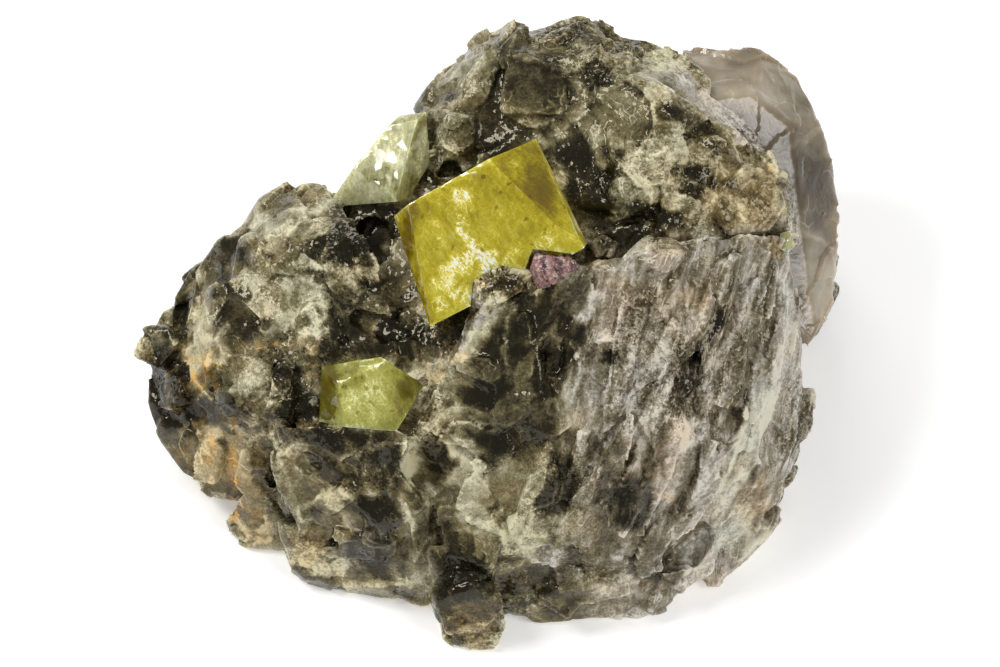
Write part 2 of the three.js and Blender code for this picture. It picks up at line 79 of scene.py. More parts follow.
BLOCK_NODE = "quartz_matrix"
LARGE, LOWER, UPPER = "rhodizite_main", "rhodizite_lower", "rhodizite_upper"
GRAIN, TOURMALINE, SMOKY = "rhodizite_grain", "tourmaline_grain", "smoky_crystal"
CRYSTAL_NODES = (LARGE, LOWER, UPPER, GRAIN, TOURMALINE, SMOKY)

RHODIZITE_IOR, TOURMALINE_IOR, SMOKY_IOR, QUARTZ_IOR = 1.69, 1.63, 1.54, 1.5


def to_face(points):
    """Row-frame metres to display-face millimetres."""
    return (np.asarray(points) / MM - np.array(FACE_MIDDLE)) @ np.array(TO_FACE).T


def from_face(points):
    """Display-face millimetres to row-frame metres."""
    return (np.asarray(points) @ np.array(TO_FACE) + np.array(FACE_MIDDLE)) * MM


# ---- Numbers that look random and are the same on every run ----


def scatter(cells, seed, count):
    """Numbers from 0 to 1 for each whole-number cell."""
    x, y, z = cells.astype(np.int64).astype(np.uint64).T
    mixed = x * np.uint64(73856093) ^ y * np.uint64(19349663) ^ z * np.uint64(83492791)
    out = np.empty((len(cells), count))
    for i in range(count):
        x = mixed + np.uint64((seed * 977 + i * 7919 + 1) * 2654435761)
        x ^= x >> np.uint64(33)
        x *= np.uint64(0xFF51AFD7ED558CCD)
        x ^= x >> np.uint64(33)
        x *= np.uint64(0xC4CEB9FE1A85EC53)
        x ^= x >> np.uint64(33)
        out[:, i] = (x >> np.uint64(40)).astype(np.float64) / float(1 << 24)
    return out


def drift(points, size, seed):
    """Smooth noise from -1 to 1, with forms as wide as size."""
    q = points / size
    base = np.floor(q)
    t = q - base
    t = t * t * (3 - 2 * t)
    total = np.zeros(len(points))
    for corner in np.ndindex(2, 2, 2):
        weight = np.prod(np.where(corner, t, 1 - t), axis=1)
        total += weight * scatter(base + corner, seed, 1)[:, 0]
    return 2 * total - 1


def wander(points, size, seed, reach):
    """How far noise moves each point, at most reach along each axis."""
    return reach * np.stack([drift(points, size, seed + k) for k in range(3)], axis=1)


def grains(points, size, seed, warp=0.35):
    """Cuts space into grains about as wide as size. Gives each point its grain's five numbers, its place
    in the grain, and how far it is from the grain's edge."""
    q = points / size
    q = q + wander(q, 0.9, seed + 1, warp)
    base = np.floor(q)
    first = np.full(len(q), np.inf)
    second = first.copy()
    cell = np.zeros_like(q)
    place = np.zeros_like(q)
    for step in np.ndindex(3, 3, 3):
        here = base + (np.array(step) - 1)
        seat = here + scatter(here, seed, 3)
        away = np.linalg.norm(q - seat, axis=1)
        nearer = away < first
        second = np.where(nearer, first, np.minimum(second, away))
        first = np.where(nearer, away, first)
        cell[nearer] = here[nearer]
        place[nearer] = (q - seat)[nearer]
    return scatter(cell, seed + 50, 5), place, second - first


def facets(points, size, seed, lift, slope):
    """A relief of flat tilted breaks, one to a grain."""
    numbers, place, _ = grains(points, size, seed)
    tilt = 2 * numbers[:, 1:4] - 1
    return lift * (2 * numbers[:, 0] - 1) + slope * np.sum(tilt * place, axis=1)


def smooth(low, high, x):
    """A smooth step from 0 at low to 1 at high."""
    t = np.clip((x - low) / (high - low), 0, 1)
    return t * t * (3 - 2 * t)


# ---- Mesh helpers ----


def deselect():
    bpy.ops.object.select_all(action="DESELECT")


def make_active(obj):
    deselect()
    obj.select_set(True)
    bpy.context.view_layer.objects.active = obj


def copy_of(node, name):
    """A new piece with the shape of a CAD node, its corners merged."""
    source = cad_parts[node]
    mesh = source.data.copy()
    mesh.materials.clear()
    piece = bpy.data.objects.new(name, mesh)
    bpy.context.collection.objects.link(piece)
    edit = bmesh.new()
    edit.from_mesh(mesh)
    bmesh.ops.remove_doubles(edit, verts=edit.verts, dist=2e-6)
    bmesh.ops.recalc_face_normals(edit, faces=edit.faces)
    edit.to_mesh(mesh)
    edit.free()
    mesh.name = name
    return piece


def apply_modifier(obj, kind, **settings):
    make_active(obj)
    modifier = obj.modifiers.new(kind.title(), kind)
    for key, value in settings.items():
        setattr(modifier, key, value)
    bpy.ops.object.modifier_apply(modifier=modifier.name)


def corners_of(obj, what="co"):
    flat = np.empty(3 * len(obj.data.vertices), dtype=np.float32)
    obj.data.vertices.foreach_get(what, flat)
    return flat.reshape(-1, 3).astype(np.float64)


def normals_of(obj):
    return corners_of(obj, "normal")


def move_corners(obj, points):
    obj.data.vertices.foreach_set("co", points.astype(np.float32).ravel())
    obj.data.update()


def raise_surface(obj, height, box):
    """Moves each corner out by its height in mm, or in if below nought, and no further than the box."""
    moved = corners_of(obj) + normals_of(obj) * height[:, None] * MM
    move_corners(obj, np.clip(moved, *np.array(box)))


def paint(obj, name, values):
    """Keeps one number for each corner of the mesh, for the material to read."""
    attribute = obj.data.attributes.new(name, "FLOAT", "POINT")
    attribute.data.foreach_set("value", np.clip(values, 0, 1).astype(np.float32))


def folds(obj):
    """How sharply the surface folds at each corner: above nought on ridges, below in creases."""
    points, normals = corners_of(obj), normals_of(obj)
    ends = np.empty(2 * len(obj.data.edges), dtype=np.int32)
    obj.data.edges.foreach_get("vertices", ends)
    ends = ends.reshape(-1, 2)
    across = points[ends[:, 1]] - points[ends[:, 0]]
    across /= np.linalg.norm(across, axis=1)[:, None] + 1e-12
    total = np.zeros(len(points))
    count = np.zeros(len(points))
    for here, sign in ((0, -1), (1, 1)):
        fall = sign * np.sum(normals[ends[:, here]] * across, axis=1)
        total += np.bincount(ends[:, here], fall, len(points))
        count += np.bincount(ends[:, here], minlength=len(points))
    sharp = total / np.maximum(count, 1)
    around = np.bincount(ends[:, 0], sharp[ends[:, 1]], len(points))
    around += np.bincount(ends[:, 1], sharp[ends[:, 0]], len(points))
    return 0.5 * sharp + 0.5 * around / np.maximum(count, 1)


def soften(obj, angle):
    make_active(obj)
    bpy.ops.object.shade_smooth_by_angle(angle=math.radians(angle))


def outer_planes(obj):
    """The flat faces that bound a convex solid, as unit normals and offsets."""
    points = corners_of(obj)
    found = []
    for face in obj.data.polygons:
        normal = np.array(face.normal)
        offset = normal @ np.array(face.center)
        if (points @ normal - offset).max() < 3e-5:
            found.append((*normal, offset))
    planes = np.unique(np.round(np.array(found), 5), axis=0)
    return planes[:, :3], planes[:, 3]


def depth_outside(planes, points):
    """How far each point is outside a convex solid (below nought inside), and its nearest face's normal."""
    normals, offsets = planes
    away = points @ normals.T - offsets
    nearest = away.argmax(axis=1)
    return away[np.arange(len(points)), nearest], normals[nearest]


# ---- Shader maths ----


class Wire:
    """An output of a shader node. Arithmetic on it adds Math nodes."""

    def __init__(self, shader, socket):
        self.shader, self.socket = shader, socket

    def math(self, operation, *others):
        return self.shader.node("Math", {"operation": operation}, [self, *others])

    def __add__(self, other):
        return self.math("ADD", other)

    def __mul__(self, other):
        return self.math("MULTIPLY", other)

    def __sub__(self, other):
        return self.math("SUBTRACT", other)

    def __rsub__(self, other):
        return self.shader.node("Math", {"operation": "SUBTRACT"}, [other, self])

    __radd__ = __add__
    __rmul__ = __mul__

    def ramp(self, low, high, start=0.0, end=1.0):
        """A smooth step from start to end as this goes from low to high."""
        settings = {"interpolation_type": "SMOOTHSTEP"}
        return self.shader.node("MapRange", settings, [self, low, high, start, end])


# Where the colours of a Mix node are: the first of its two inputs, and its output.
MIX_COLOURS, MIX_RESULT = 6, 2


class Shader:
    """A material being built."""

    def __init__(self, name):
        self.material = bpy.data.materials.new(name)
        self.material.use_nodes = True
        self.tree = self.material.node_tree
        self.tree.nodes.clear()

    def node(self, kind, settings=None, inputs=None, output=0):
        """Adds a node, sets it up, feeds its sockets with values or wires, and gives one of its outputs."""
        made = self.tree.nodes.new("ShaderNode" + kind)
        for key, value in (settings or {}).items():
            if key == "stops":
                self.set_stops(made.color_ramp, value)
            else:
                setattr(made, key, value)
        pairs = inputs.items() if isinstance(inputs, dict) else enumerate(inputs or [])
        for key, value in pairs:
            if isinstance(value, Wire):
                self.tree.links.new(value.socket, made.inputs[key])
            elif value is not None:
                made.inputs[key].default_value = value
        return Wire(self, made.outputs[output]) if made.outputs else None

    @staticmethod
    def set_stops(ramp, stops):
        while len(ramp.elements) < len(stops):
            ramp.elements.new(0.5)
        for element, (place, colour) in zip(ramp.elements, stops):
            element.position = place
            element.color = (*colour, 1.0)

    def mix(self, factor, a, b, blend="MIX"):
        """Two colours mixed by a factor, from all of a at 0 to all of b at 1."""
        settings = {"data_type": "RGBA", "blend_type": blend, "clamp_factor": True}
        inputs = {"Factor": factor}
        for i, colour in enumerate((a, b)):
            inputs[MIX_COLOURS + i] = (*colour, 1.0) if isinstance(colour, tuple) else colour
        return self.node("Mix", settings, inputs, output=MIX_RESULT)

    def vector_math(self, operation, *inputs):
        return self.node("VectorMath", {"operation": operation}, inputs)

    def way_of(self, colour):
        """A colour read as a direction, so that middle grey points nowhere."""
        return self.vector_math("SUBTRACT", colour, (0.5, 0.5, 0.5))

    def pushed(self, vector, way, amount):
        """A vector with an amount of another added to it."""
        return self.vector_math("ADD", vector, self.vector_math("SCALE", way, None, None, amount))

    def gradient(self, place, stops):
        """The colour at a place from 0 to 1 along a row of stops."""
        return self.node("ValToRGB", {"stops": stops}, {"Fac": place}, output="Color")

    def principled(self, inputs):
        return self.node("BsdfPrincipled", None, inputs)

    def attribute(self, name):
        return self.node("Attribute", {"attribute_name": name}, output="Fac")

    def face(self):
        """Places on the display face in millimetres."""
        place = self.node("TexCoord", output="Object")
        back = -(TO_FACE @ FACE_MIDDLE)
        inputs = {"Vector": place, "Location": back, "Rotation": (-FACE_LEAN, 0, 0), "Scale": (1 / MM,) * 3}
        return self.node("Mapping", {"vector_type": "POINT"}, inputs)

    def stretched(self, vector, turn, scale):
        """The same places, turned on the display face and squeezed along its axes."""
        inputs = {"Vector": vector, "Rotation": (0, 0, math.radians(turn)), "Scale": scale}
        return self.node("Mapping", {"vector_type": "TEXTURE"}, inputs)

    def noise(self, vector, size, detail=3.0, roughness=0.55):
        inputs = {"Vector": vector, "Scale": 1 / size, "Detail": detail, "Roughness": roughness}
        return self.node("TexNoise", None, inputs, output="Fac")

    def cells(self, vector, size, output="Distance", feature="F1"):
        settings = {"voronoi_dimensions": "3D", "feature": feature}
        return self.node("TexVoronoi", settings, {"Vector": vector, "Scale": 1 / size}, output=output)

    def veins(self, vector, size, width):
        """1 on thin lines that wander about."""
        away = (self.noise(vector, size, detail=2.0) - 0.5).math("ABSOLUTE")
        return away.ramp(width, 0.3 * width)

    def chips(self, vector, size):
        """Small flat breaks: which way each leans, and a number for each from -0.5 to 0.5."""
        lean = self.way_of(self.cells(vector, size, "Color"))
        return lean, self.node("SeparateColor", None, {"Color": lean}, output="Red")

    def leaning(self, *leans):
        """The surface's normal, turned by the breaks on it."""
        normal = self.node("NewGeometry", output="Normal")
        for lean, amount in leans:
            normal = self.pushed(normal, lean, amount)
        return self.vector_math("NORMALIZE", normal)

    def shake(self, vector, size, amount, detail=1.0):
        """Places moved about by noise, so that what is drawn on them has ragged edges."""
        inputs = {"Vector": vector, "Scale": 1 / size, "Detail": detail}
        colour = self.node("TexNoise", None, inputs, output="Color")
        return self.pushed(vector, self.way_of(colour), 2 * amount)

    def bump(self, height, strength, distance):
        return self.node("Bump", None, {"Height": height, "Strength": strength, "Distance": distance * MM})

    def finish(self, surface, volume=None):
        self.node("OutputMaterial", None, {"Surface": surface, "Volume": volume})
        return self.material


def give(piece, material, node, slot):
    """Ends a piece: its material and the body that it moves with, and hides the CAD part that it replaces.
    The slot is not used.
    """
    piece.data.materials.clear()
    piece.data.materials.append(material)
    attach(piece, "root")
    if node:
        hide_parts(node)


# ---- The block: broken smoky quartz and feldspar ----

# Patches that can be told apart on the display face, by kind. Each has its middle across and up, its half
# width and its half length in mm, and the degrees that it leans over to the left.
PATCHES = {
    "pale": [
        (5.3, 15, 0.9, 1, 0), (5.7, 17.4, 0.35, 2.6, -3), (3.5, 13.6, 0.6, 1.9, -62),
        (7.4, 13.5, 0.5, 2.2, 68), (10.4, 11, 1.9, 2, 0), (12.9, 12.8, 2.2, 0.8, -8),
        (-15.4, 2.6, 2.4, 1.7, 20), (-21.1, 0.1, 0.7, 2.4, 0), (-19.9, -1.3, 1, 1.2, 0),
        (-12.2, 2.1, 0.18, 1.4, 10), (-12.9, 1, 0.35, 0.9, 20), (-8.3, 5.8, 1.2, 0.18, 20),
        (-11.2, -11.3, 1.9, 0.8, -22), (-10.3, -13, 0.9, 0.6, 0), (-6.4, -10.7, 0.35, 3.2, 0),
        (-6.3, -8.4, 0.5, 1.5, 0), (-11.8, -16.3, 2, 0.5, 12), (-16.2, -13.8, 0.8, 0.8, 0),
        (-1.3, 0.7, 0.5, 2.9, -33), (0.4, -0.2, 0.18, 2, 4), (-1.8, -11.7, 1.2, 2.9, 8),
        (-2.6, -7.9, 0.9, 0.8, 0), (6, 1.6, 0.4, 1.8, -35), (10.2, -6.6, 0.4, 2, -16),
        (2.2, -14.6, 2.1, 1.2, -30), (20.1, 2.4, 0.4, 2.4, 10), (19.5, -2.4, 0.55, 3.4, -14),
    ],
    "fair": [
        (9, 16, 2.6, 1.8, 25), (14, 17, 0.9, 4.2, 50), (-2.5, 13.2, 1.8, 1.6, 0),
        (-1.6, 17.6, 1.2, 2.2, -30), (15.6, 11.4, 2.4, 0.5, -30), (-16.8, 8.1, 2.2, 1, -38),
        (-17.2, -2.6, 1.6, 1.6, 0), (-24, -0.6, 1.3, 1.2, 0), (-14.3, -9.2, 0.9, 2.6, 0),
        (-12.2, -8.6, 1.6, 1.2, 0), (5.8, -4.4, 2, 2.6, 0), (9, -17.6, 2.4, 0.8, -5),
        (13.9, -15.8, 1.2, 1.4, 0), (15.2, -9.4, 1.2, 4.4, -14),
    ],
    "beige": [
        (9.3, 2.2, 3, 1.7, -15), (13.6, 4.6, 3.4, 1.2, -10), (11.9, -8.8, 0.9, 2.8, -10),
    ],
    "dusk": [
        (1.4, 17, 2.8, 2.4, 0), (1, 13.4, 3.4, 1.2, -12), (-4.1, 11.2, 1.8, 0.9, -25),
        (-9.6, 8.6, 2, 1.2, 0), (-17.8, 5.9, 1.5, 1.2, 0), (-18.8, 2.4, 1.3, 1.7, 0),
        (-9.2, 2.4, 3, 1.5, 0), (-9.9, -8.6, 3, 1.8, 0), (2.4, 0.8, 1.4, 2.6, -20),
        (1.2, -5.4, 2.8, 2.4, 0),
    ],
    # Dark smoky quartz, but the thin patch at (-13.2, 4.2) is painted shade in a crevice between plates.
    "black": [
        (6.6, 18.2, 0.8, 1.3, 0), (5.7, 10.6, 1.3, 3, 25), (7.9, 11.9, 1, 1.5, 20),
        (13.4, 10.5, 1.4, 1.2, 0), (12.6, 15, 1.9, 0.5, -25), (9, 6.9, 2.4, 0.8, 0),
        (10.9, 8.3, 2, 0.6, -15), (-10.2, 6.4, 1.6, 1.6, 0), (-12.4, 6.1, 2.4, 1.1, 0),
        (-13.2, 4.2, 1.7, 0.4, -8), (-10.4, -0.3, 1.7, 1.3, 0), (-7, -0.4, 2, 1.3, -10),
        (-8.8, 3.7, 0.9, 0.4, -20), (-17.1, 0.5, 0.9, 0.8, 0), (-19, -7, 0.7, 1.1, 0),
        (-14.7, -4.1, 1.1, 2, 0), (-8.9, -11.9, 1.6, 0.9, 0), (-4.1, -8.7, 0.8, 1.5, 0),
        (-2.3, -16.7, 1.8, 1.7, 0), (-0.4, -2, 1.4, 3.4, -30), (3.6, -2.4, 1.1, 1.9, -15),
        (4.9, 0.4, 0.9, 0.7, -20), (13, -3, 1.2, 3, -6), (14.8, 0.4, 0.5, 1.5, -30),
        (16.2, -6.1, 0.6, 1, -20), (7.6, -1.5, 0.7, 0.5, 0), (4, -10.4, 1, 2.2, -10),
        (9.3, -11.6, 1, 2, -10),
    ],
    "umber": [
        (17, 9.6, 2.8, 2.4, 0), (6.5, 5.6, 1.1, 0.9, 0), (-20.8, -8.4, 2.4, 2.8, 20),
        (-17.6, -9.6, 1.3, 2.6, 0), (-13.4, -15, 1.4, 1.4, 0), (-17.8, -13.8, 1.3, 0.9, 0),
        (-2.3, -20, 1.8, 1.4, 0), (13.4, 2.7, 1.2, 0.7, -25), (11.6, -11.2, 0.8, 0.5, 0),
        (17.7, -11.4, 1.2, 1.4, 0),
    ],
    "rust": [
        (-20.6, -2.6, 1, 1.3, 0), (-16.4, -0.7, 2.2, 0.3, 0), (-18.8, -9.9, 0.4, 2.4, 0),
        (-17.8, -12.6, 1.3, 0.5, 0), (-20.4, -8.6, 0.2, 1.6, 4), (-18.4, -6.6, 0.3, 1, 0),
        (19.1, 6, 0.4, 0.7, 0),
    ],
    "yolk": [
        (-8.6, 0, 0.2, 1, 0), (-21.2, -1.6, 1.2, 0.9, 0), (-14.3, -0.6, 1.2, 0.4, 20),
        (-13.2, -2.2, 0.5, 1.6, 0), (-3.9, -1.8, 0.7, 1.6, -40), (-12.9, -6, 2.2, 0.4, 5),
    ],
    "peach": [
        (0, 3.5, 2, 1.1, -20),
    ],
    "bark": [
        (-23.3, -4, 1.6, 2.6, 0), (-19.6, -5.3, 2.8, 0.9, 0),
    ],
    "lilac": [
        (15.4, 15.6, 0.8, 4.6, 52), (9.2, -3.6, 0.6, 3.6, -6), (12, -9, 0.8, 3.4, -14),
        (13.9, -4.4, 0.9, 3.6, -16), (16.4, 0.6, 0.8, 4.6, -14),
    ],
    "slate": [
        (-9.1, -14.6, 1.5, 1.7, 0), (-2.9, 0.4, 0.8, 2.6, -33), (7.8, -9.9, 1, 2.8, -18),
        (10.3, -14.6, 1.3, 3.4, -4), (4.2, -15.6, 1.8, 1.3, 0),
    ],
    "green": [
        (17.3, -7.4, 0.9, 4.6, -22), (17, -14, 2, 1.7, -20), (11.6, 19.2, 1.6, 0.8, 25),
    ],
    # Spark patches are darker, with chips that lean more and catch the lights, and more painted glints.
    "spark": [
        (4.5, -10.8, 1.2, 1.6, -10), (6.9, -7.8, 1.1, 0.5, -60), (10.5, -4, 0.6, 1.6, -10),
        (15.6, -3, 0.8, 1.4, -30), (1.6, -7.6, 1.4, 1, 0), (-17.6, 0.8, 1, 0.7, 0),
        (-15.6, -3.2, 0.6, 1.4, 0), (-7.8, 10.2, 2, 1, -30), (-12, -7.4, 1.6, 0.8, 0),
        (12, 8.2, 1.6, 0.9, 0), (5.6, 11, 1.2, 2.8, 20), (-2.2, -16.6, 1.4, 1.2, 0),
        (-7.2, -14.4, 0.9, 1.8, 0), (-22.8, -3.4, 1.4, 1.4, 0), (9.6, 2.6, 1.4, 0.8, -15),
        (6.4, -3.6, 0.9, 1.2, -15),
    ],
}

# Where the rock broke along one smooth face, laid out as the patches are.
CALM = [
    (2.4, 17.4, 3.2, 3.4, 0), (9.6, 16, 4.2, 2.4, 25), (17, 9.6, 3, 2.6, 0), (-16.2, 2.4, 3.8, 2.8, 10),
    (-16, 7.4, 3.4, 2, -38), (-12.2, -10.4, 3.2, 3.6, 0), (-7.4, -0.4, 3.4, 1.6, -20),
    (-0.2, -2.6, 3.2, 5.4, -30), (1.6, -6, 3, 2.6, 0), (10, 4, 4.6, 2, -15), (-20.8, -8.2, 2.6, 3.2, 20),
    (-2.2, -17.8, 2.2, 3.4, 0), (17.6, -5, 2.2, 6, -8),
]

# The breaks of the rock: their width in mm and the seed of their cut. Colours follow the same cuts.
COARSE, MIDDLING = (3.6, 11), (1.6, 12)
LONG, SPLINTERS = (2.2, 13), (0.9, 14)

# Degrees that the grain of the streaked face leans over to the right.
STREAK_LEAN = 14

# Half the width in mm under which a patch keeps its line, whatever the breaks do.
NARROW = 0.7

# The tone from 0 to 1 that contrast grows away from.
MIDDLE_TONE = 0.43

# What each kind of patch does: lighter or darker, and how much of each tint.
KINDS = {
    "pale": {"tone": 0.37},
    "fair": {"tone": 0.2},
    "beige": {"tone": -0.03, "umber": 0.4},
    "dusk": {"tone": -0.24},
    "black": {"tone": -0.4},
    "umber": {"tone": 0.04, "umber": 0.9},
    "rust": {"tone": 0.1, "rust": 1.0},
    "yolk": {"tone": 0.22, "rust": 0.45},
    "peach": {"tone": -0.36, "rust": 0.5},
    "bark": {"tone": -0.44, "umber": 1.0},
    "lilac": {"tone": 0.16, "lilac": 0.8},
    "slate": {"tone": -0.18, "lilac": 0.7},
    "green": {"tone": 0.26, "green": 0.6},
    "spark": {"tone": -0.14, "spark": 1.0},
}


class BlockSettings(bpy.types.PropertyGroup):
    """Sizes and colours of the block."""

    mesh_size: FloatProperty(
        name="Mesh size", description="Width of a face of the block's mesh", default=0.00018, unit="LENGTH"
    )
    relief: FloatProperty(
        name="Relief", description="How strong the broken relief is", default=1.0, min=0, max=2
    )
    face_budget: IntProperty(
        name="Triangles", description="The most triangles that the block has", default=192000
    )
    smoky: FloatVectorProperty(
        name="Smoky quartz", description="The middle tone of the smoky quartz", subtype="COLOR",
        default=(0.134, 0.112, 0.055),
    )
    feldspar: FloatVectorProperty(
        name="Feldspar", description="The pale grains", subtype="COLOR", default=(0.58, 0.53, 0.35)
    )
    rust: FloatVectorProperty(
        name="Rust", description="Tint of the iron stain", subtype="COLOR",
        default=(1.15, 0.78, 0.3), max=2.0,
    )


def patch_cover(face, patch, corners=2.0):
    """How much a patch covers each point, from 1 in its middle to 0 outside. A round one has 2 for its
    corners, and more makes it squarer."""
    middle_x, middle_y, half_width, half_length, lean = patch
    turn = math.radians(lean)
    across, along = face[:, 0] - middle_x, face[:, 1] - middle_y
    x = (across * math.cos(turn) + along * math.sin(turn)) / half_width
    y = (-across * math.sin(turn) + along * math.cos(turn)) / half_length
    return 1 - smooth(0.75, 1.2, (abs(x) ** corners + abs(y) ** corners) ** (1 / corners))


def streak_share(face):
    """1 on the streaked face, at the right below the ridge, and 0 away from it."""
    right = smooth(-3.0, 6.0, face[:, 0] + 0.25 * face[:, 1])
    return right * smooth(7.0, 3.0, face[:, 1] - 0.15 * face[:, 0])


def along_streaks(face, squeeze=0.3):
    """Places squeezed along the grain of the streaked face, so that what is cut there is long."""
    angle = math.radians(STREAK_LEAN)
    out = face.copy()
    out[:, 0] = face[:, 0] * math.cos(angle) - face[:, 1] * math.sin(angle)
    out[:, 1] = (face[:, 0] * math.sin(angle) + face[:, 1] * math.cos(angle)) * squeeze
    return out


def roughness_of(face):
    """From 0 where the rock broke smoothly to 1 where it crumbled."""
    rough = smooth(-0.35, 0.5, drift(face, 5.0, 16))
    for patch in CALM:
        rough = rough * (1 - 0.9 * patch_cover(face, patch))
    return rough


def broken_relief(face):
    """Height of the broken surface above the solid's, in mm."""
    share = streak_share(face)
    rough = roughness_of(face)
    blocky = facets(face, *COARSE, 0.1, 0.4) + rough * facets(face, *MIDDLING, 0.08, 0.26)
    long_ones = facets(along_streaks(face), *LONG, 0.13, 0.32)
    long_ones += (0.3 + 0.7 * rough) * facets(along_streaks(face), *SPLINTERS, 0.07, 0.16)
    fine = 0.012 * drift(face, 0.9, 15)
    return np.clip(blocky * (1 - share) + long_ones * share + fine, -0.32, 0.32)


def rock_tone(face, rim, share, cuts):
    """How light the rock is before its patches, by its grains, its streaks, the painted light at its rim and
    its veins.
    """
    (coarse, _, edge), (middling, _, _), (streaked, _, _) = cuts
    own = 0.36 * (coarse[:, 4] - 0.5) + 0.24 * (middling[:, 4] - 0.5)
    own_streak = 0.26 * (streaked[:, 4] - 0.5)
    own_streak += 0.14 * drift(along_streaks(face, squeeze=0.15), 0.5, 21)
    tone = 0.44 + own * (1 - share) + own_streak * share + 0.1 * drift(face, 4.0, 22)
    tone += 0.12 * share * smooth(2.0, 10.0, face[:, 0])
    # Thin rock at the rim is painted lighter, as painted light that stands in for light shining through it.
    tone += 0.1 * rim
    vein = smooth(0.17, 0.05, edge + 0.07 * drift(face, 0.7, 24))
    vein *= smooth(0.0, 0.4, drift(face, 3.2, 25))
    return tone + 0.26 * vein * (1 - share)


def lay_patches(paints, face, front, share, place):
    """Puts the patches of each kind into the tone and the tints."""
    # The edges of a patch follow the edges of the breaks.
    shaken = face - 0.9 * (1 - share)[:, None] * place
    shaken += wander(face, 1.3, 30, 0.3) + wander(face, 0.5, 40, 0.15)
    # A narrow one keeps its line.
    steady = face + wander(face, 1.0, 30, 0.3) + wander(face, 0.4, 40, 0.12)
    mottled = 0.95 + 0.4 * drift(face, 1.2, 26)
    for kind, patches in PATCHES.items():
        for patch in patches:
            ground = steady if min(patch[2:4]) < NARROW else shaken
            cover = patch_cover(ground, patch, corners=4.0) * front
            for name, amount in KINDS[kind].items():
                if name == "tone":
                    paints[name] = paints[name] + amount * cover * mottled
                else:
                    paints[name] = np.maximum(paints[name], amount * cover)


def seams(face, share, cuts):
    """1 in the gaps between grains, on some stretches of them."""
    edge, small_edge, streak_edge = (cut[2] for cut in cuts)
    thin = np.where(share > 0.5, streak_edge, np.minimum(edge, 1.6 * small_edge))
    return (1 - smooth(0.02, 0.09, thin)) * smooth(-0.2, 0.4, drift(face, 2.2, 23))


def paint_minerals(block, crystals):
    """Keeps what each point of the block is made of."""
    points, normals = corners_of(block), normals_of(block)
    face = to_face(points)
    share = streak_share(face)
    cuts = [grains(face, *COARSE), grains(face, *MIDDLING), grains(along_streaks(face), *LONG)]
    front = smooth(-9.0, -4.0, face[:, 2])
    # The rim, where the surface turns away from the display face, is where light is painted in.
    rim = smooth(0.5, 0.1, (normals @ np.array(TO_FACE).T)[:, 2]) * front
    paints = dict.fromkeys(("rust", "umber", "green", "spark"), 0.0)
    paints["lilac"] = 0.7 * share * smooth(2.0, 7.0, face[:, 0])
    paints["tone"] = rock_tone(face, rim, share, cuts)
    lay_patches(paints, face, front, share, cuts[1][1])
    # The top of the block is the most even part of it.
    contrast = 1 - 0.3 * smooth(10.5, 13.5, face[:, 1])
    tone = MIDDLE_TONE + (paints["tone"] - MIDDLE_TONE) * contrast
    # The palest and the darkest patches stop short of white and black.
    paints["tone"] = tone - 0.55 * np.maximum(tone - 0.72, 0) + 0.5 * np.maximum(0.16 - tone, 0)
    sharp = folds(block)
    walls = [crystal.faced_by(points, normals) for crystal in crystals]
    paints |= {
        "seam": seams(face, share, cuts),
        "streaked": share,
        "rough": roughness_of(face),
        # Painted highlight along ridges and painted shade in creases.
        "ridge": smooth(0.04, 0.24, sharp),
        "crease": smooth(0.05, 0.3, -sharp),
        # Where the block is the wall of a crystal's pocket, for painted light bounced back through the
        # crystal.
        "pocket": np.max(walls, axis=0),
    }
    for name, values in paints.items():
        paint(block, name, values)


def brighter(colour, by):
    return tuple(min(1.0, by * c) for c in colour)


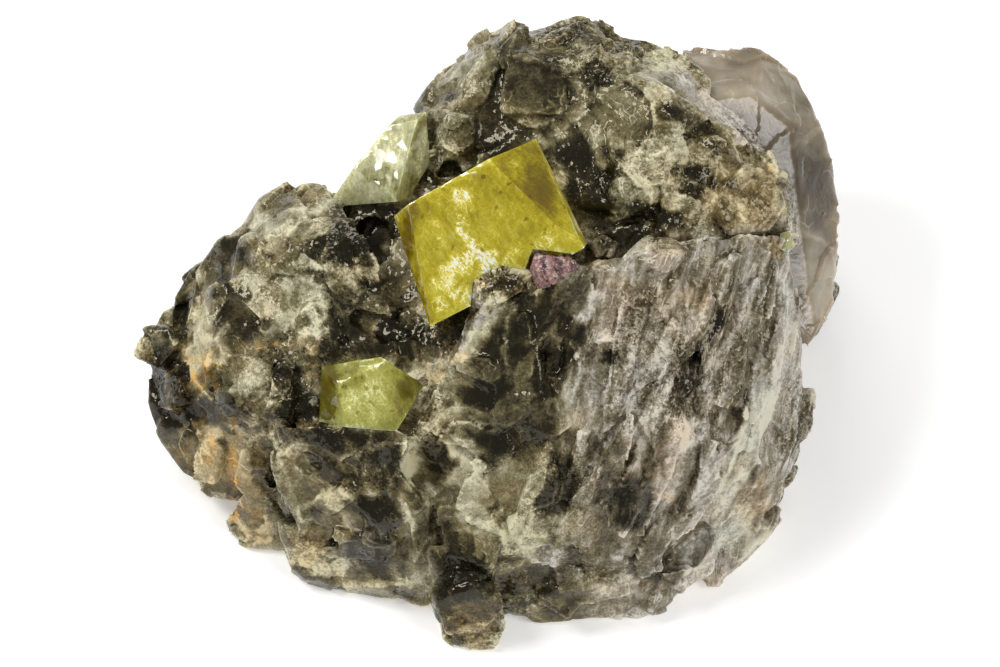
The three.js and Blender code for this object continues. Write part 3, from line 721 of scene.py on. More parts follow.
def block_material(settings):
    """Translucent broken quartz and feldspar: glassy where dark, duller where pale."""
    s = Shader("broken quartz and feldspar")
    face = s.face()
    streaked = s.attribute("streaked")
    rough = s.attribute("rough")
    ragged = s.shake(face, 0.8, 0.16)
    flowing = s.shake(face, 4.0, 0.9, detail=0.0)
    cloud = s.noise(ragged, 2.4, detail=3, roughness=0.5)
    blotch = s.noise(ragged, 0.5, detail=4, roughness=0.7)
    long_places = s.stretched(flowing, -STREAK_LEAN, (1.0, 6.0, 1.0))
    streaks = s.noise(long_places, 0.45, detail=2, roughness=0.6).ramp(0.36, 0.64)
    veins = s.veins(s.stretched(ragged, 40, (1.0, 2.5, 1.0)), 1.4, 0.014)
    long_veins = s.veins(s.stretched(flowing, -STREAK_LEAN, (1.0, 7.0, 1.0)), 0.8, 0.02)
    lines = (veins + streaked * (long_veins - veins)) * cloud.ramp(0.46, 0.6)
    chip, chip_shade = s.chips(face, 0.8)
    splinter, splinter_shade = s.chips(s.stretched(face, -STREAK_LEAN, (1.0, 4.0, 1.0)), 0.5)
    crumb, crumb_shade = s.chips(face, 0.19)
    chip_shade = chip_shade + streaked * (splinter_shade - chip_shade)
    dust = s.noise(face, 0.12, detail=3, roughness=0.7)
    tone = (
        (s.attribute("tone") - MIDDLE_TONE) * 1.3
        + MIDDLE_TONE
        + (cloud - 0.5) * (0.3 + 0.3 * rough)
        + (blotch - 0.5) * (0.4 + 0.5 * rough)
        + (streaks - 0.5) * streaked * 0.16
        + chip_shade * (0.12 + 0.14 * rough)
        + crumb_shade * (0.14 + 0.16 * rough)
        + (dust - 0.5) * (0.55 + 0.45 * rough)
        + s.attribute("seam") * 0.1
        # Painted highlight along ridges and painted shade in creases.
        + s.attribute("ridge") * 0.26
        - s.attribute("crease") * 0.2
        + lines * 0.26
    )
    smoky = tuple(settings.smoky)
    feldspar = tuple(settings.feldspar)
    stops = [
        (0.0, brighter(smoky, 0.07)),
        (0.2, brighter(smoky, 0.2)),
        (0.4, brighter(smoky, 0.7)),
        (0.6, brighter(smoky, 1.6)),
        (0.78, brighter(feldspar, 0.66)),
        (0.92, feldspar),
        (1.0, brighter(feldspar, 1.3)),
    ]
    colour = s.gradient(tone, stops)
    hue = s.noise(face, 3.4, detail=1)
    tints = [
        (hue.ramp(0.5, 0.62), (1.03, 0.99, 0.93)),
        (hue.ramp(0.48, 0.38), (0.97, 1.0, 1.04)),
        (s.attribute("umber") * 0.8, (1.1, 0.94, 0.76)),
        (s.attribute("lilac") * 0.9, (0.97, 0.97, 1.38)),
        (s.attribute("green") * 0.6, (0.94, 1.02, 0.86)),
        (s.attribute("rust") * blotch.ramp(0.36, 0.58) * 0.9, tuple(settings.rust)),
    ]
    for share, tint in tints:
        colour = s.mix(share, colour, tint, "MULTIPLY")
    # Painted glints: pale specks mixed into the base colour, more of them on spark patches.
    glints = (dust + s.attribute("spark") * 0.03).ramp(0.69, 0.76)
    colour = s.mix(glints * 0.36, colour, (0.74, 0.72, 0.62))
    # Painted light: the walls of the crystals' pockets are painted bright cream, standing in for light
    # bounced back through the crystals.
    colour = s.mix(s.attribute("pocket") * 0.9, colour, (0.75, 0.68, 0.4))
    pale = tone.ramp(0.5, 0.9)
    roughness = blotch.ramp(0.35, 0.65, 0.04, 0.15) + pale * 0.25
    normal = s.leaning(
        (chip, (1 - streaked) * (0.2 + 0.16 * rough)),
        (splinter, streaked * (0.26 + 0.18 * rough)),
        (crumb, 0.2 + 0.12 * rough + 0.16 * s.attribute("spark")),
    )
    inputs = {
        "Base Color": colour,
        "Roughness": roughness,
        "Normal": normal,
        "IOR": QUARTZ_IOR,
        "Specular IOR Level": 0.38,
        "Specular Tint": (1.0, 0.91, 0.7, 1.0),
    }
    return s.finish(s.principled(inputs))


# How near the rock minds a crystal, how near it is drawn up to it, and how far it then goes in, in metres.
REACH, CLOSES, SUNK = 0.0012, 0.00045, 0.00012

# Rock that is nearer to a crystal than this is a wall of its pocket, and rock under this height rests.
TOUCHES, RESTS = 0.00004, 0.00012


class Neighbour:
    """A crystal that the rock lies against."""

    def __init__(self, node):
        self.cutter = copy_of(node, "cutter_" + node)
        self.tree = BVHTree.FromPolygons(
            [corner.co for corner in self.cutter.data.vertices],
            [list(face.vertices) for face in self.cutter.data.polygons],
        )
        points = corners_of(self.cutter)
        self.low, self.high = points.min(axis=0) - REACH, points.max(axis=0) + REACH

    def touched(self, points):
        """The points that may be in reach, with the nearest place on the crystal and its outward normal."""
        for i in np.flatnonzero(((points > self.low) & (points < self.high)).all(axis=1)):
            place, normal, _, _ = self.tree.find_nearest(points[i].tolist(), REACH)
            if place is not None:
                yield i, np.array(place), np.array(normal)

    def away(self, points):
        """How far each point is outside the crystal, up to the reach."""
        distances = np.full(len(points), REACH)
        for i, place, normal in self.touched(points):
            gap = points[i] - place
            distances[i] = math.copysign(np.linalg.norm(gap), gap @ normal)
        return distances

    def faced_by(self, points, normals):
        """1 where the block lies against the crystal, as the wall of its pocket."""
        walls = np.zeros(len(points))
        for i, place, normal in self.touched(points):
            if np.linalg.norm(points[i] - place) < TOUCHES and normals[i] @ normal < -0.8:
                walls[i] = 1.0
        return walls

    def draw_in(self, points):
        """Closes the pocket: rock that is just outside the crystal moves up to it and a little into it."""
        moved = points.copy()
        for i, place, normal in self.touched(points):
            if np.linalg.norm(points[i] - place) < CLOSES:
                moved[i] = place - normal * SUNK
        return moved


class SPECIMEN_OT_block(bpy.types.Operator):
    """Breaks up the surface of the block and gives it its minerals"""

    bl_idname = "specimen.block"
    bl_label = "Block"

    def execute(self, context):
        settings = context.scene.specimen_block
        block = copy_of(BLOCK_NODE, "broken_block")
        apply_modifier(block, "REMESH", mode="VOXEL", voxel_size=settings.mesh_size)
        neighbours = [Neighbour(node) for node in CRYSTAL_NODES]
        points = corners_of(block)
        near = np.min([crystal.away(points) for crystal in neighbours], axis=0)
        height = broken_relief(to_face(points)) * settings.relief * MM * smooth(0.0003, REACH, near)
        moved = points + normals_of(block) * height[:, None]
        for crystal in neighbours:
            moved = crystal.draw_in(moved)
        resting = points[:, 2] < RESTS
        moved[resting, 2] = points[resting, 2]
        move_corners(block, np.clip(moved, *np.array(CAD_BOX)))
        cut = {"operation": "DIFFERENCE", "solver": "MANIFOLD"}
        for crystal in neighbours:
            apply_modifier(block, "BOOLEAN", object=crystal.cutter, **cut)
        faces = sum(len(face.vertices) - 2 for face in block.data.polygons)
        if faces > settings.face_budget:
            apply_modifier(block, "DECIMATE", ratio=settings.face_budget / faces)
        paint_minerals(block, neighbours)
        for crystal in neighbours:
            bpy.data.objects.remove(crystal.cutter)
        soften(block, 24)
        give(block, block_material(settings), BLOCK_NODE, "matrix")
        return {"FINISHED"}


# ---- The crystals ----

# What shows inside each crystal: how much brighter or darker it is, and then its patch, laid out as those of
# the block are.
# In a rhodizite, what is brighter than FLASHES is painted as flashes on its cracks.
INSIDE_LARGE = [
    (-0.22, -6.5, 6.3, 0.55, 3.2, -14), (-0.1, -5.2, 8.9, 0.5, 3, 62), (-0.1, -1.6, 10.9, 0.3, 3.4, 63),
    (0.14, -4.3, 7, 0.12, 2.2, 8), (0.34, -2.8, 9.7, 0.8, 0.5, -20), (0.26, -2.4, 8.9, 0.5, 0.7, 20),
    (-0.12, -1.9, 8.3, 0.8, 0.3, -30), (0.46, -2.3, 6.9, 0.35, 1.3, 30), (0.46, -1.3, 5.8, 0.55, 0.9, 42),
    (0.36, -0.7, 4.8, 0.6, 1.2, -30), (0.34, -2.6, 4.9, 0.9, 0.7, 0), (0.26, -3.6, 4.4, 0.7, 0.7, 0),
    (0.22, -3.2, 3.1, 1.6, 0.8, -25), (0.28, -4.3, 2.1, 0.6, 0.5, 0), (-0.12, -5, 1.8, 0.3, 1.4, 20),
    (0.04, 0.1, 7.6, 1.5, 1.9, 0), (0.24, 3.1, 6.5, 0.8, 0.7, 0), (0.2, 0.8, 5.2, 0.4, 1.4, -35),
    (-0.16, 2.6, 10.4, 0.9, 1.6, 20), (-0.14, 3.2, 9.2, 0.6, 1.5, 25), (-0.08, 1.7, 9.6, 0.5, 1.2, 40),
    (0.2, 0.8, 11.8, 0.5, 0.4, 0), (0.14, 4.1, 10.2, 0.12, 3.2, 25), (-0.06, 2.1, 12.9, 1.2, 0.6, 0),
    (0.12, 4.9, 7.4, 0.5, 0.9, 25),
]
INSIDE_LOWER = [
    (-0.34, -12, -4, 0.8, 2.6, 0), (-0.16, -10.7, -2.9, 1.2, 0.8, 20), (-0.1, -9.8, -3.2, 0.2, 1, -30),
    (0.13, -9.2, -4.7, 1.8, 1.6, 0), (0.1, -8.4, -3.4, 1, 1.3, 20), (-0.16, -6.9, -4.4, 0.8, 1.4, 30),
    (-0.26, -6.3, -3.6, 0.9, 0.9, 0), (-0.12, -7.2, -5.8, 1, 0.5, 30), (0.2, -10.4, -6.3, 2.2, 0.25, -4),
]
INSIDE_UPPER = [
    (0.16, -7.2, 12.9, 0.9, 1.7, -20), (-0.18, -6.1, 12.2, 0.35, 2.6, -8),
    (0.24, -5.6, 12.4, 0.3, 2.4, -8), (-0.2, -5.3, 14.4, 0.3, 1, 10), (-0.12, -8.6, 11.2, 1.4, 0.7, -30),
    (-0.16, -8.2, 15, 1.4, 0.3, -40),
]
INSIDE_SMOKY = [
    (0.16, 18.5, 17.6, 3.6, 1.8, 0), (-0.26, 22, 10.2, 1.8, 2.6, 0), (-0.14, 20.5, 13, 1.2, 1.8, 20),
    (0.14, 21, 13.4, 0.25, 2.6, -60), (0.24, 22.6, 4, 1.4, 3.4, 0), (0.14, 21.6, 6.9, 0.3, 2.4, 70),
    (0.12, 23.6, 8, 0.4, 6, 4), (0.2, 15, 19.6, 1.8, 0.5, 0),
]


# Widths of the mesh faces of the two crystals that are cut like the block, in metres, and how far the smoky
# one is drawn in, in mm, so that its breaks stay in the solid.
TOURMALINE_MESH, SMOKY_MESH, SMOKY_SINK = 0.00009, 0.00022, 0.16


class CrystalSettings(bpy.types.PropertyGroup):
    """Sizes and colours of the crystals."""

    edge_round: FloatProperty(
        name="Edge rounding", description="Width of the worn edge between two faces", default=0.00006,
        unit="LENGTH",
    )
    yellow: FloatVectorProperty(
        name="Yellow", description="Middle colour of the large rhodizite", subtype="COLOR",
        default=(0.57, 0.485, 0.007),
    )
    lemon: FloatVectorProperty(
        name="Lemon", description="Middle colour of the lower rhodizite", subtype="COLOR",
        default=(0.45, 0.44, 0.085),
    )
    pale_yellow: FloatVectorProperty(
        name="Pale yellow", description="Middle colour of the upper rhodizite", subtype="COLOR",
        default=(0.6, 0.59, 0.31),
    )
    tourmaline: FloatVectorProperty(
        name="Tourmaline", description="Colour of the small pink grain", subtype="COLOR",
        default=(0.31, 0.16, 0.15),
    )
    smoke: FloatVectorProperty(
        name="Smoke", description="Colour that the smoky crystal lets through", subtype="COLOR",
        default=(0.72, 0.62, 0.48),
    )
    flaws: IntProperty(
        name="Flaws", description="Cracks inside the large crystal", default=12, min=0, max=40
    )


def cut_in_strips(piece, step):
    """Cuts the flat faces of a crystal into small ones, along a grid, without bending them."""
    points = corners_of(piece)
    low, high = points.min(axis=0), points.max(axis=0)
    make_active(piece)
    bpy.ops.object.mode_set(mode="EDIT")
    for axis, normal in enumerate(np.eye(3).tolist()):
        for place in np.arange(low[axis] + 0.5 * step, high[axis], step):
            point = low.copy()
            point[axis] = place
            bpy.ops.mesh.select_all(action="SELECT")
            bpy.ops.mesh.bisect(plane_co=point.tolist(), plane_no=normal)
    bpy.ops.mesh.select_all(action="SELECT")
    bpy.ops.mesh.quads_convert_to_tris()
    bpy.ops.object.mode_set(mode="OBJECT")


# Painted light and shade: how much brighter or darker the main faces of the large crystal show, by the way
# they face.
PAINTED_FACE_SHADES = [
    ((-0.238, -0.006, 1.0), 0.02),
    ((0.393, 0.625, 1.0), -0.1),
    ((0.061, 0.031, 1.0), 0.05),
    ((-1.735, -0.295, 1.0), -0.12),
    ((3.669, 2.045, 1.0), 0.12),
]


def painted_face_shade(normals):
    ways = np.array([way for way, _ in PAINTED_FACE_SHADES])
    ways /= np.linalg.norm(ways, axis=1)[:, None]
    nearest = (normals @ np.array(TO_FACE).T @ ways.T).argmax(axis=1)
    return np.array([shade for _, shade in PAINTED_FACE_SHADES])[nearest]


# A patch that is brighter than this gets painted flashes: bright reflections on fine cracks.
FLASHES = 0.08


# Width in metres of the strips that the faces of a crystal are cut in, and about how far in mm they dip.
STRIP, DIP = 0.0004, 0.02


def facet_crystal(node, name, settings, inside):
    """A crystal with worn edges, faces that are nearly flat, and what shows inside it."""
    crystal = copy_of(node, name)
    apply_modifier(crystal, "BEVEL", width=settings.edge_round, segments=2, limit_method="ANGLE")
    cut_in_strips(crystal, STRIP)
    face = to_face(corners_of(crystal))
    sink = DIP * (0.5 + 0.5 * drift(face, 1.7, 61) + 0.3 * (0.5 + 0.5 * drift(face, 0.6, 62)))
    raise_surface(crystal, -sink, CAD_BOX)
    shaken = face + wander(face, 0.9, 63, 0.3)
    dim = 0.5 + 0.05 * drift(face, 2.5, 66)
    # The large crystal's faces get painted light and shade by the way they face.
    if node == LARGE:
        dim = dim + painted_face_shade(normals_of(crystal))
    flash = 0 * dim
    for amount, *patch in inside:
        cover = patch_cover(shaken, patch)
        dim = dim + min(amount, FLASHES) * cover
        flash = np.maximum(flash, max(amount - FLASHES, 0) * cover)
    paint(crystal, "dim", dim)
    paint(crystal, "flash", flash)
    # Painted highlight along the worn edges.
    paint(crystal, "ridge", smooth(0.04, 0.14, folds(crystal)))
    soften(crystal, 22)
    return crystal


def cloudy_glass(s, share, skin, milk, absorbs, density):
    """Ends a material that is clear glass, and milky by its share. The volume takes out what it absorbs."""
    clear = s.principled({**skin, "Base Color": (1, 1, 1, 1), "Transmission Weight": 1.0})
    cloudy = s.principled({**skin, "Subsurface Scale": 1.0, **milk})
    surface = s.node("MixShader", None, {0: share, 1: clear, 2: cloudy})
    volume = s.node("VolumeAbsorption", None, {"Color": (*absorbs, 1), "Density": density})
    return s.finish(surface, volume)


def rhodizite_material(name, colour, absorbs, density, cloud_share, line_turn, line_share):
    """Clear crystal with milky clouds in it, bright flaws with painted flashes, painted highlights along its
    edges, growth lines and small pits.
    """
    s = Shader(name)
    face = s.face()
    ragged = s.shake(face, 0.5, 0.18)
    streaky = s.noise(s.stretched(ragged, 35, (1.0, 3.0, 1.0)), 0.45, detail=4, roughness=0.7)
    fine = s.noise(face, 0.16, detail=3, roughness=0.75)
    lines = s.noise(s.stretched(face, line_turn, (1.0, 24.0, 1.0)), 0.22, detail=3, roughness=0.6)
    dots = s.node("SeparateColor", None, {"Color": s.cells(face, 0.3, "Color")}, output="Red")
    crisp = s.noise(s.stretched(ragged, 35, (1.0, 4.0, 1.0)), 0.24, detail=5, roughness=0.8)
    sparkle = crisp.ramp(0.47, 0.6)
    crackle = s.veins(s.stretched(ragged, 35, (1.0, 3.0, 1.0)), 0.7, 0.03)
    crackle = crackle + s.veins(s.stretched(ragged, -50, (1.0, 3.0, 1.0)), 0.6, 0.03)
    crackle = crackle.math("MINIMUM", 1.0)
    # Painted light: the flashes, with their sparkle and crackle, and the highlight along the edges.
    glow = (
        s.attribute("dim")
        + s.attribute("flash") * (0.18 + sparkle * 1.05 + crackle * 0.5)
        + s.attribute("ridge") * 0.26
        + (streaky - 0.5) * 0.5
        + (fine - 0.5) * 0.3
        + crackle * 0.07
        + (lines - 0.5) * line_share
        - dots.ramp(0.03, 0.015) * 0.2
    )
    stops = [
        (0.0, (0.3 * colour[0], 0.22 * colour[1], 0.1 * colour[2])),
        (0.25, (0.44 * colour[0], 0.38 * colour[1], 0.2 * colour[2])),
        (0.5, tuple(colour)),
        (0.66, tuple(min(1, 1.12 * c + 0.05) for c in colour)),
        (0.8, tuple(min(1, 1.2 * c + 0.28) for c in colour)),
        (0.92, (1.0, 0.99, 0.84)),
    ]
    skin = {
        "Roughness": s.noise(face, 0.9, detail=1).ramp(0.35, 0.7, 0.03, 0.2),
        "IOR": RHODIZITE_IOR,
        "Normal": s.leaning((s.chips(ragged, 0.7)[0], 0.22)),
    }
    milk = {
        "Base Color": s.gradient(glow, stops),
        "Subsurface Weight": 0.7,
        "Subsurface Radius": (0.002, 0.0016, 0.0004),
    }
    share = glow.ramp(0.45, 0.85, cloud_share, 0.95)
    return cloudy_glass(s, share, skin, milk, absorbs, density)


def wavy_sheet(name, middle, across, along, width, length, seed):
    """A thin closed sheet, bent in two directions, with a ragged outline: a crack in a crystal."""
    count = 9
    middle, across, along = (np.array(v, dtype=float) for v in (middle, across, along))
    across /= np.linalg.norm(across)
    along -= across * (across @ along)
    along /= np.linalg.norm(along)
    up = np.cross(across, along)
    steps = np.linspace(-1, 1, count)
    x, y = (grid.ravel() for grid in np.meshgrid(steps, steps, indexing="ij"))
    flat = np.stack([x * 1.7 + seed, y * 1.7, 0.7 * seed + 0 * x], axis=1)
    reach = np.sqrt(1 - 0.5 * np.maximum(x * x, y * y)) * (1 + 0.25 * drift(flat, 0.6, seed))
    bow = 0.16 * drift(flat, 1.1, seed + 1) * width
    thick = 0.012 * (1 - 0.9 * np.maximum(abs(x), abs(y)) ** 4)
    edit = bmesh.new()
    layers = []
    for side in (-1, 1):
        spots = middle + np.outer(x * reach * width, across) + np.outer(y * reach * length, along)
        spots = from_face(spots + np.outer(bow + side * thick, up))
        layers.append([edit.verts.new(spot) for spot in spots])
    for i, j in np.ndindex(count - 1, count - 1):
        for layer in layers:
            square = (i * count + j, (i + 1) * count + j, (i + 1) * count + j + 1, i * count + j + 1)
            edit.faces.new([layer[k] for k in square])
    border = [i * count for i in range(count)] + [(count - 1) * count + j for j in range(1, count)]
    border += [i * count + count - 1 for i in range(count - 2, -1, -1)] + list(range(count - 2, 0, -1))
    for a, b in zip(border, border[1:] + border[:1]):
        edit.faces.new([layers[0][a], layers[0][b], layers[1][b], layers[1][a]])
    bmesh.ops.recalc_face_normals(edit, faces=edit.faces)
    mesh = bpy.data.meshes.new(name)
    edit.to_mesh(mesh)
    edit.free()
    sheet = bpy.data.objects.new(name, mesh)
    bpy.context.collection.objects.link(sheet)
    return sheet


# Cracks inside the large crystal: middle in face mm, across, along, half width, half length.
FLAWS = [
    ((-3.2, 6.6, 9.6), (1.0, 0.5, 0.3), (0.2, -1.0, -0.6), 1.6, 1.1),
    ((-2.4, 4.0, 9.6), (0.8, -1.0, 0.2), (0.6, 0.8, -0.7), 1.9, 0.8),
    ((-1.8, 2.6, 8.6), (1.0, 0.1, 0.2), (0.1, -1.0, -0.5), 1.6, 1.2),
    ((-3.6, 3.0, 8.2), (0.9, 0.3, 0.4), (-0.2, 1.0, -0.4), 1.3, 1.6),
    ((-0.8, 4.6, 8.6), (1.0, 0.6, -0.2), (0.3, -0.9, -0.5), 1.5, 0.9),
    ((0.4, 2.4, 8.0), (1.0, 0.4, 0.3), (0.0, -1.0, -0.3), 1.3, 0.8),
    ((-4.2, 5.2, 8.6), (0.7, 0.5, 0.6), (0.2, -1.0, -0.5), 0.9, 1.6),
    ((1.4, 7.6, 8.4), (1.0, -0.3, 0.3), (0.2, 1.0, -0.5), 1.4, 0.8),
    ((-2.6, 1.4, 7.6), (1.0, 0.2, 0.1), (0.0, 1.0, -0.6), 1.6, 0.7),
    ((-1.2, 6.8, 8.8), (0.8, 0.7, -0.3), (0.4, -0.9, -0.6), 0.9, 1.2),
    ((2.6, 5.8, 7.8), (0.6, -0.9, 0.3), (0.5, 0.7, -0.6), 1.1, 0.9),
    ((-3.0, -0.4, 7.0), (1.0, 0.5, 0.2), (0.2, -1.0, -0.6), 0.9, 0.9),
]


def flaw_material(settings):
    """The bright skin of a crack."""
    s = Shader("crack in the crystal")
    face = s.face()
    ragged = s.shake(face, 0.5, 0.2)
    white = s.noise(ragged, 0.35, detail=4, roughness=0.7)
    inputs = {
        "Base Color": s.mix(white.ramp(0.4, 0.62), (0.75, 0.66, 0.12), (1.0, 0.98, 0.8)),
        "Roughness": 0.3,
        "IOR": QUARTZ_IOR,
        "Normal": s.bump(s.noise(face, 0.2, detail=2), 0.8, 0.12),
        "Alpha": white.ramp(0.42, 0.58) * 0.85,
    }
    return s.finish(s.principled(inputs))


class SPECIMEN_OT_rhodizite(bpy.types.Operator):
    """Dresses the four rhodizite crystals"""

    bl_idname = "specimen.rhodizite"
    bl_label = "Rhodizite crystals"

    def execute(self, context):
        settings = context.scene.specimen_crystals
        clear = rhodizite_material(
            "clear yellow rhodizite", settings.yellow, (0.93, 0.80, 0.03), 420.0, 0.7, -20, 0.16
        )
        milky = rhodizite_material(
            "milky yellow rhodizite", settings.lemon, (0.90, 0.86, 0.2), 300.0, 0.75, -8, 0.2
        )
        faint = rhodizite_material(
            "pale rhodizite", settings.pale_yellow, (0.93, 0.94, 0.72), 260.0, 0.6, -8, 0.5
        )
        table = [
            (LARGE, "large_crystal", clear, INSIDE_LARGE, "rhodizite"),
            (LOWER, "lower_crystal", milky, INSIDE_LOWER, "rhodizite"),
            (UPPER, "upper_crystal", faint, INSIDE_UPPER, "pale_rhodizite"),
            (GRAIN, "right_grain", faint, [], "pale_rhodizite"),
        ]
        for node, name, material, inside, slot in table:
            crystal = facet_crystal(node, name, settings, inside)
            give(crystal, material, node, slot)
        return {"FINISHED"}


class SPECIMEN_OT_flaws(bpy.types.Operator):
    """Puts the bright cracks into the large crystal"""

    bl_idname = "specimen.flaws"
    bl_label = "Cracks in the large crystal"

    def execute(self, context):
        settings = context.scene.specimen_crystals
        planes = outer_planes(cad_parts[LARGE])
        material = flaw_material(settings)
        sheets = []
        for i, (middle, across, along, width, length) in enumerate(FLAWS[: settings.flaws]):
            sheet = wavy_sheet(f"crack_{i}", middle, across, along, width, length, 70 + i)
            points = corners_of(sheet)
            away, normal = depth_outside(planes, points)
            move_corners(sheet, points - normal * np.maximum(away + 0.00015, 0)[:, None])
            sheets.append(sheet)
        deselect()
        for sheet in sheets:
            sheet.select_set(True)
        bpy.context.view_layer.objects.active = sheets[0]
        bpy.ops.object.join()
        cracks = sheets[0]
        cracks.name = "cracks"
        soften(cracks, 60)
        give(cracks, material, None, "rhodizite")
        return {"FINISHED"}


def tourmaline_material(settings):
    """Dark pink with streaks along it and paler grains."""
    s = Shader("pink tourmaline")
    face = s.face()
    streak = s.noise(s.stretched(face, 20, (1.0, 4.0, 1.0)), 0.35, detail=5)
    colour = s.mix(streak.ramp(0.35, 0.6), (0.075, 0.03, 0.036), tuple(settings.tourmaline))
    colour = s.mix(s.noise(face, 0.4, detail=4).ramp(0.5, 0.62) * 0.7, colour, (0.56, 0.44, 0.34))
    inputs = {
        "Base Color": colour,
        "Roughness": s.noise(face, 0.5).ramp(0.3, 0.7, 0.08, 0.4),
        "IOR": TOURMALINE_IOR,
        "Subsurface Weight": 0.4,
        "Subsurface Radius": (0.0015, 0.0006, 0.0007),
        "Subsurface Scale": 1.0,
        "Normal": s.bump(s.cells(s.shake(face, 0.4, 0.1), 0.3), 0.8, 0.12),
    }
    return s.finish(s.principled(inputs))


class SPECIMEN_OT_tourmaline(bpy.types.Operator):
    """Dresses the small pink tourmaline at the foot of the large crystal"""

    bl_idname = "specimen.tourmaline"
    bl_label = "Tourmaline grain"

    def execute(self, context):
        settings = context.scene.specimen_crystals
        grain = copy_of(TOURMALINE, "pink_grain")
        apply_modifier(grain, "REMESH", mode="VOXEL", voxel_size=TOURMALINE_MESH)
        face = to_face(corners_of(grain))
        height = 0.5 * facets(face, 0.9, 81, 0.12, 0.2) + 0.5 * facets(face, 0.4, 82, 0.06, 0.1)
        raise_surface(grain, height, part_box(TOURMALINE))
        soften(grain, 30)
        give(grain, tourmaline_material(settings), TOURMALINE, "tourmaline")
        return {"FINISHED"}


def smoky_material(settings):
    """Smoky glass with milk and a few pale cracks in it."""
    s = Shader("smoky quartz")
    face = s.face()
    cloud = s.noise(s.shake(face, 2.0, 0.8), 2.6, detail=4, roughness=0.5)
    crack = s.cells(s.shake(face, 3.0, 1.2), 5.5, feature="DISTANCE_TO_EDGE")
    tone = s.attribute("tone") + (cloud - 0.5) * 0.4
    stops = [
        (0.0, (0.055, 0.042, 0.026)),
        (0.35, (0.125, 0.1, 0.064)),
        (0.6, (0.23, 0.19, 0.128)),
        (0.8, (0.37, 0.315, 0.225)),
        (1.0, (0.58, 0.53, 0.43)),
    ]
    seen = (1 - crack.ramp(0.0, 0.014)) * cloud.ramp(0.5, 0.6)
    skin = {
        "Roughness": 0.12,
        "IOR": SMOKY_IOR,
        "Normal": s.bump(s.noise(face, 0.8, detail=3, roughness=0.65), 0.4, 0.1),
    }
    milk = {
        "Base Color": s.mix(seen * 0.3, s.gradient(tone, stops), (0.75, 0.69, 0.6)),
        "Roughness": 0.22,
        "Subsurface Weight": 1.0,
        "Subsurface Radius": (0.004, 0.003, 0.0024),
    }
    share = cloud.ramp(0.3, 0.6, 0.8, 0.97)
    return cloudy_glass(s, share, skin, milk, tuple(settings.smoke), 260.0)


class SPECIMEN_OT_smoky(bpy.types.Operator):
    """Dresses the large smoky crystal at the back right"""

    bl_idname = "specimen.smoky"
    bl_label = "Smoky crystal"

    def execute(self, context):
        crystal = copy_of(SMOKY, "smoky_quartz_crystal")
        apply_modifier(crystal, "REMESH", mode="VOXEL", voxel_size=SMOKY_MESH)
        apply_modifier(crystal, "SMOOTH", factor=0.5, iterations=6)
        face = to_face(corners_of(crystal))
        height = facets(face, 4.6, 91, 0.1, 0.24) + 0.04 * drift(face, 1.6, 92)
        rim = smooth(0.75, 0.3, (normals_of(crystal) @ np.array(TO_FACE).T)[:, 2])
        height += rim * facets(face, 1.5, 93, 0.06, 0.2)
        raise_surface(crystal, height - SMOKY_SINK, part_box(SMOKY))
        tone = 0.62 + 0.1 * drift(face, 3.0, 94)
        shaken = face + 0.6 * drift(face, 1.6, 95)[:, None]
        for amount, *patch in INSIDE_SMOKY:
            tone = tone + amount * patch_cover(shaken, patch)
        paint(crystal, "tone", tone)
        soften(crystal, 26)
        give(crystal, smoky_material(context.scene.specimen_crystals), SMOKY, "smoky_quartz")
        return {"FINISHED"}


# ---- Floor, lights and camera ----


class StageSettings(bpy.types.PropertyGroup):
    """The view of the specimen."""

    focal_length: FloatProperty(
        name="Focal length", description="Lens of the camera in mm on a 36 mm sensor", default=300.0
    )
    view_width: FloatProperty(
        name="Width of view", description="What the camera takes in at the specimen", default=0.070,
        unit="LENGTH",
    )


# Softboxes: the name, place and size in metres, and power in watts, and the place that they point at.
SOFTBOXES = [
    ("key", (-0.19, 0.02, 0.30), (0.12, 0.12), 0.62),
    ("fill", (0.22, -0.16, 0.26), (0.14, 0.14), 0.44),
    ("rear", (-0.06, 0.27, 0.23), (0.18, 0.1), 0.34),
]
LIT = Vector((0, 0, 0.012))

# The camera's sensor in mm, and the middle of its view on the display face.
SENSOR, VIEW_MIDDLE = 36.0, (0.0, 0.1, 1.5)

# Width of the floor, and how far it lies below the specimen, in metres.
FLOOR_WIDTH, FLOOR_DROP = 6.0, 0.00005


def floor_material():
    """Pale and matt, and a little bright by itself."""
    s = Shader("pale floor")
    inputs = {
        "Base Color": (0.96, 0.96, 0.96, 1),
        "Roughness": 0.95,
        "Specular IOR Level": 0.1,
        "Emission Color": (1, 1, 1, 1),
        "Emission Strength": 0.3,
    }
    return s.finish(s.principled(inputs))


def soft_light(name, place, size, power):
    """A softbox that points at the specimen."""
    lamp = bpy.data.lights.new(name, "AREA")
    lamp.shape = "RECTANGLE"
    lamp.size, lamp.size_y = size
    lamp.energy = power
    holder = bpy.data.objects.new(name, lamp)
    bpy.context.collection.objects.link(holder)
    holder.location = place
    holder.rotation_euler = (LIT - Vector(place)).to_track_quat("-Z", "Y").to_euler()


def add_camera(settings):
    """A camera that looks straight at the display face."""
    camera = bpy.data.objects.new("camera", bpy.data.cameras.new("camera"))
    bpy.context.collection.objects.link(camera)
    camera.data.sensor_width = SENSOR
    camera.data.lens = settings.focal_length
    camera.data.clip_start = 0.01
    distance = settings.focal_length * settings.view_width / SENSOR
    outward = TO_FACE.transposed() @ Vector((0, 0, 1))
    camera.location = Vector(from_face([VIEW_MIDDLE])[0]) + outward * distance
    camera.rotation_euler = (FACE_LEAN, 0, 0)
    return camera


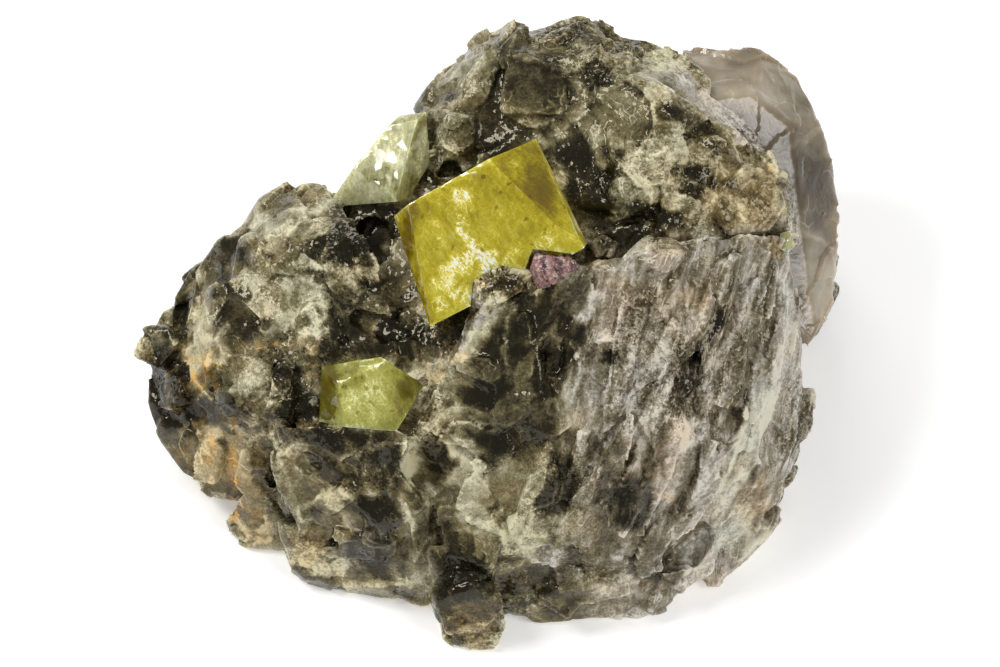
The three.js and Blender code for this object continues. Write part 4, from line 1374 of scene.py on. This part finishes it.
class SPECIMEN_OT_stage(bpy.types.Operator):
    """Sets up the pale floor, the soft lights and the camera"""

    bl_idname = "specimen.stage"
    bl_label = "Stage"

    def execute(self, context):
        deselect()
        bpy.ops.mesh.primitive_plane_add(size=FLOOR_WIDTH, location=(0, 0, -FLOOR_DROP))
        floor = context.object
        floor.name = "floor"
        floor.data.materials.append(floor_material())
        world = bpy.data.worlds.new("studio")
        context.scene.world = world
        world.use_nodes = True
        sky = world.node_tree.nodes["Background"].inputs
        sky["Color"].default_value = (1, 1, 1, 1)
        sky["Strength"].default_value = 0.3
        for softbox in SOFTBOXES:
            soft_light(*softbox)
        context.scene.view_settings.view_transform = "Standard"
        context.scene.camera = add_camera(context.scene.specimen_stage)
        return {"FINISHED"}


# ---- Panel, registration and the whole build ----


class SPECIMEN_PT_panel(bpy.types.Panel):
    """Lists the steps of the specimen and their sizes and colours"""

    bl_idname = "SPECIMEN_PT_panel"
    bl_label = "Rhodizite specimen"
    bl_space_type = "VIEW_3D"
    bl_region_type = "UI"
    bl_category = "Specimen"

    def draw(self, context):
        for name in SETTINGS:
            group = getattr(context.scene, name)
            box = self.layout.box()
            for key in group.bl_rna.properties.keys():
                if key not in ("rna_type", "name"):
                    box.prop(group, key)
        for operator in OPERATORS:
            self.layout.operator(operator.bl_idname)


SETTINGS = {
    "specimen_block": BlockSettings,
    "specimen_crystals": CrystalSettings,
    "specimen_stage": StageSettings,
}
OPERATORS = (
    SPECIMEN_OT_block,
    SPECIMEN_OT_rhodizite,
    SPECIMEN_OT_flaws,
    SPECIMEN_OT_tourmaline,
    SPECIMEN_OT_smoky,
    SPECIMEN_OT_stage,
)


def register():
    for name, group in SETTINGS.items():
        bpy.utils.register_class(group)
        setattr(bpy.types.Scene, name, PointerProperty(type=group))
    for operator in OPERATORS:
        bpy.utils.register_class(operator)
    bpy.utils.register_class(SPECIMEN_PT_panel)


def unregister():
    bpy.utils.unregister_class(SPECIMEN_PT_panel)
    for operator in reversed(OPERATORS):
        bpy.utils.unregister_class(operator)
    for name, group in SETTINGS.items():
        delattr(bpy.types.Scene, name)
        bpy.utils.unregister_class(group)


def main():
    register()
    deselect()
    bpy.ops.specimen.block()
    bpy.ops.specimen.rhodizite()
    bpy.ops.specimen.flaws()
    bpy.ops.specimen.tourmaline()
    bpy.ops.specimen.smoky()
    bpy.ops.specimen.stage()


if __name__ == "__main__":
    main()
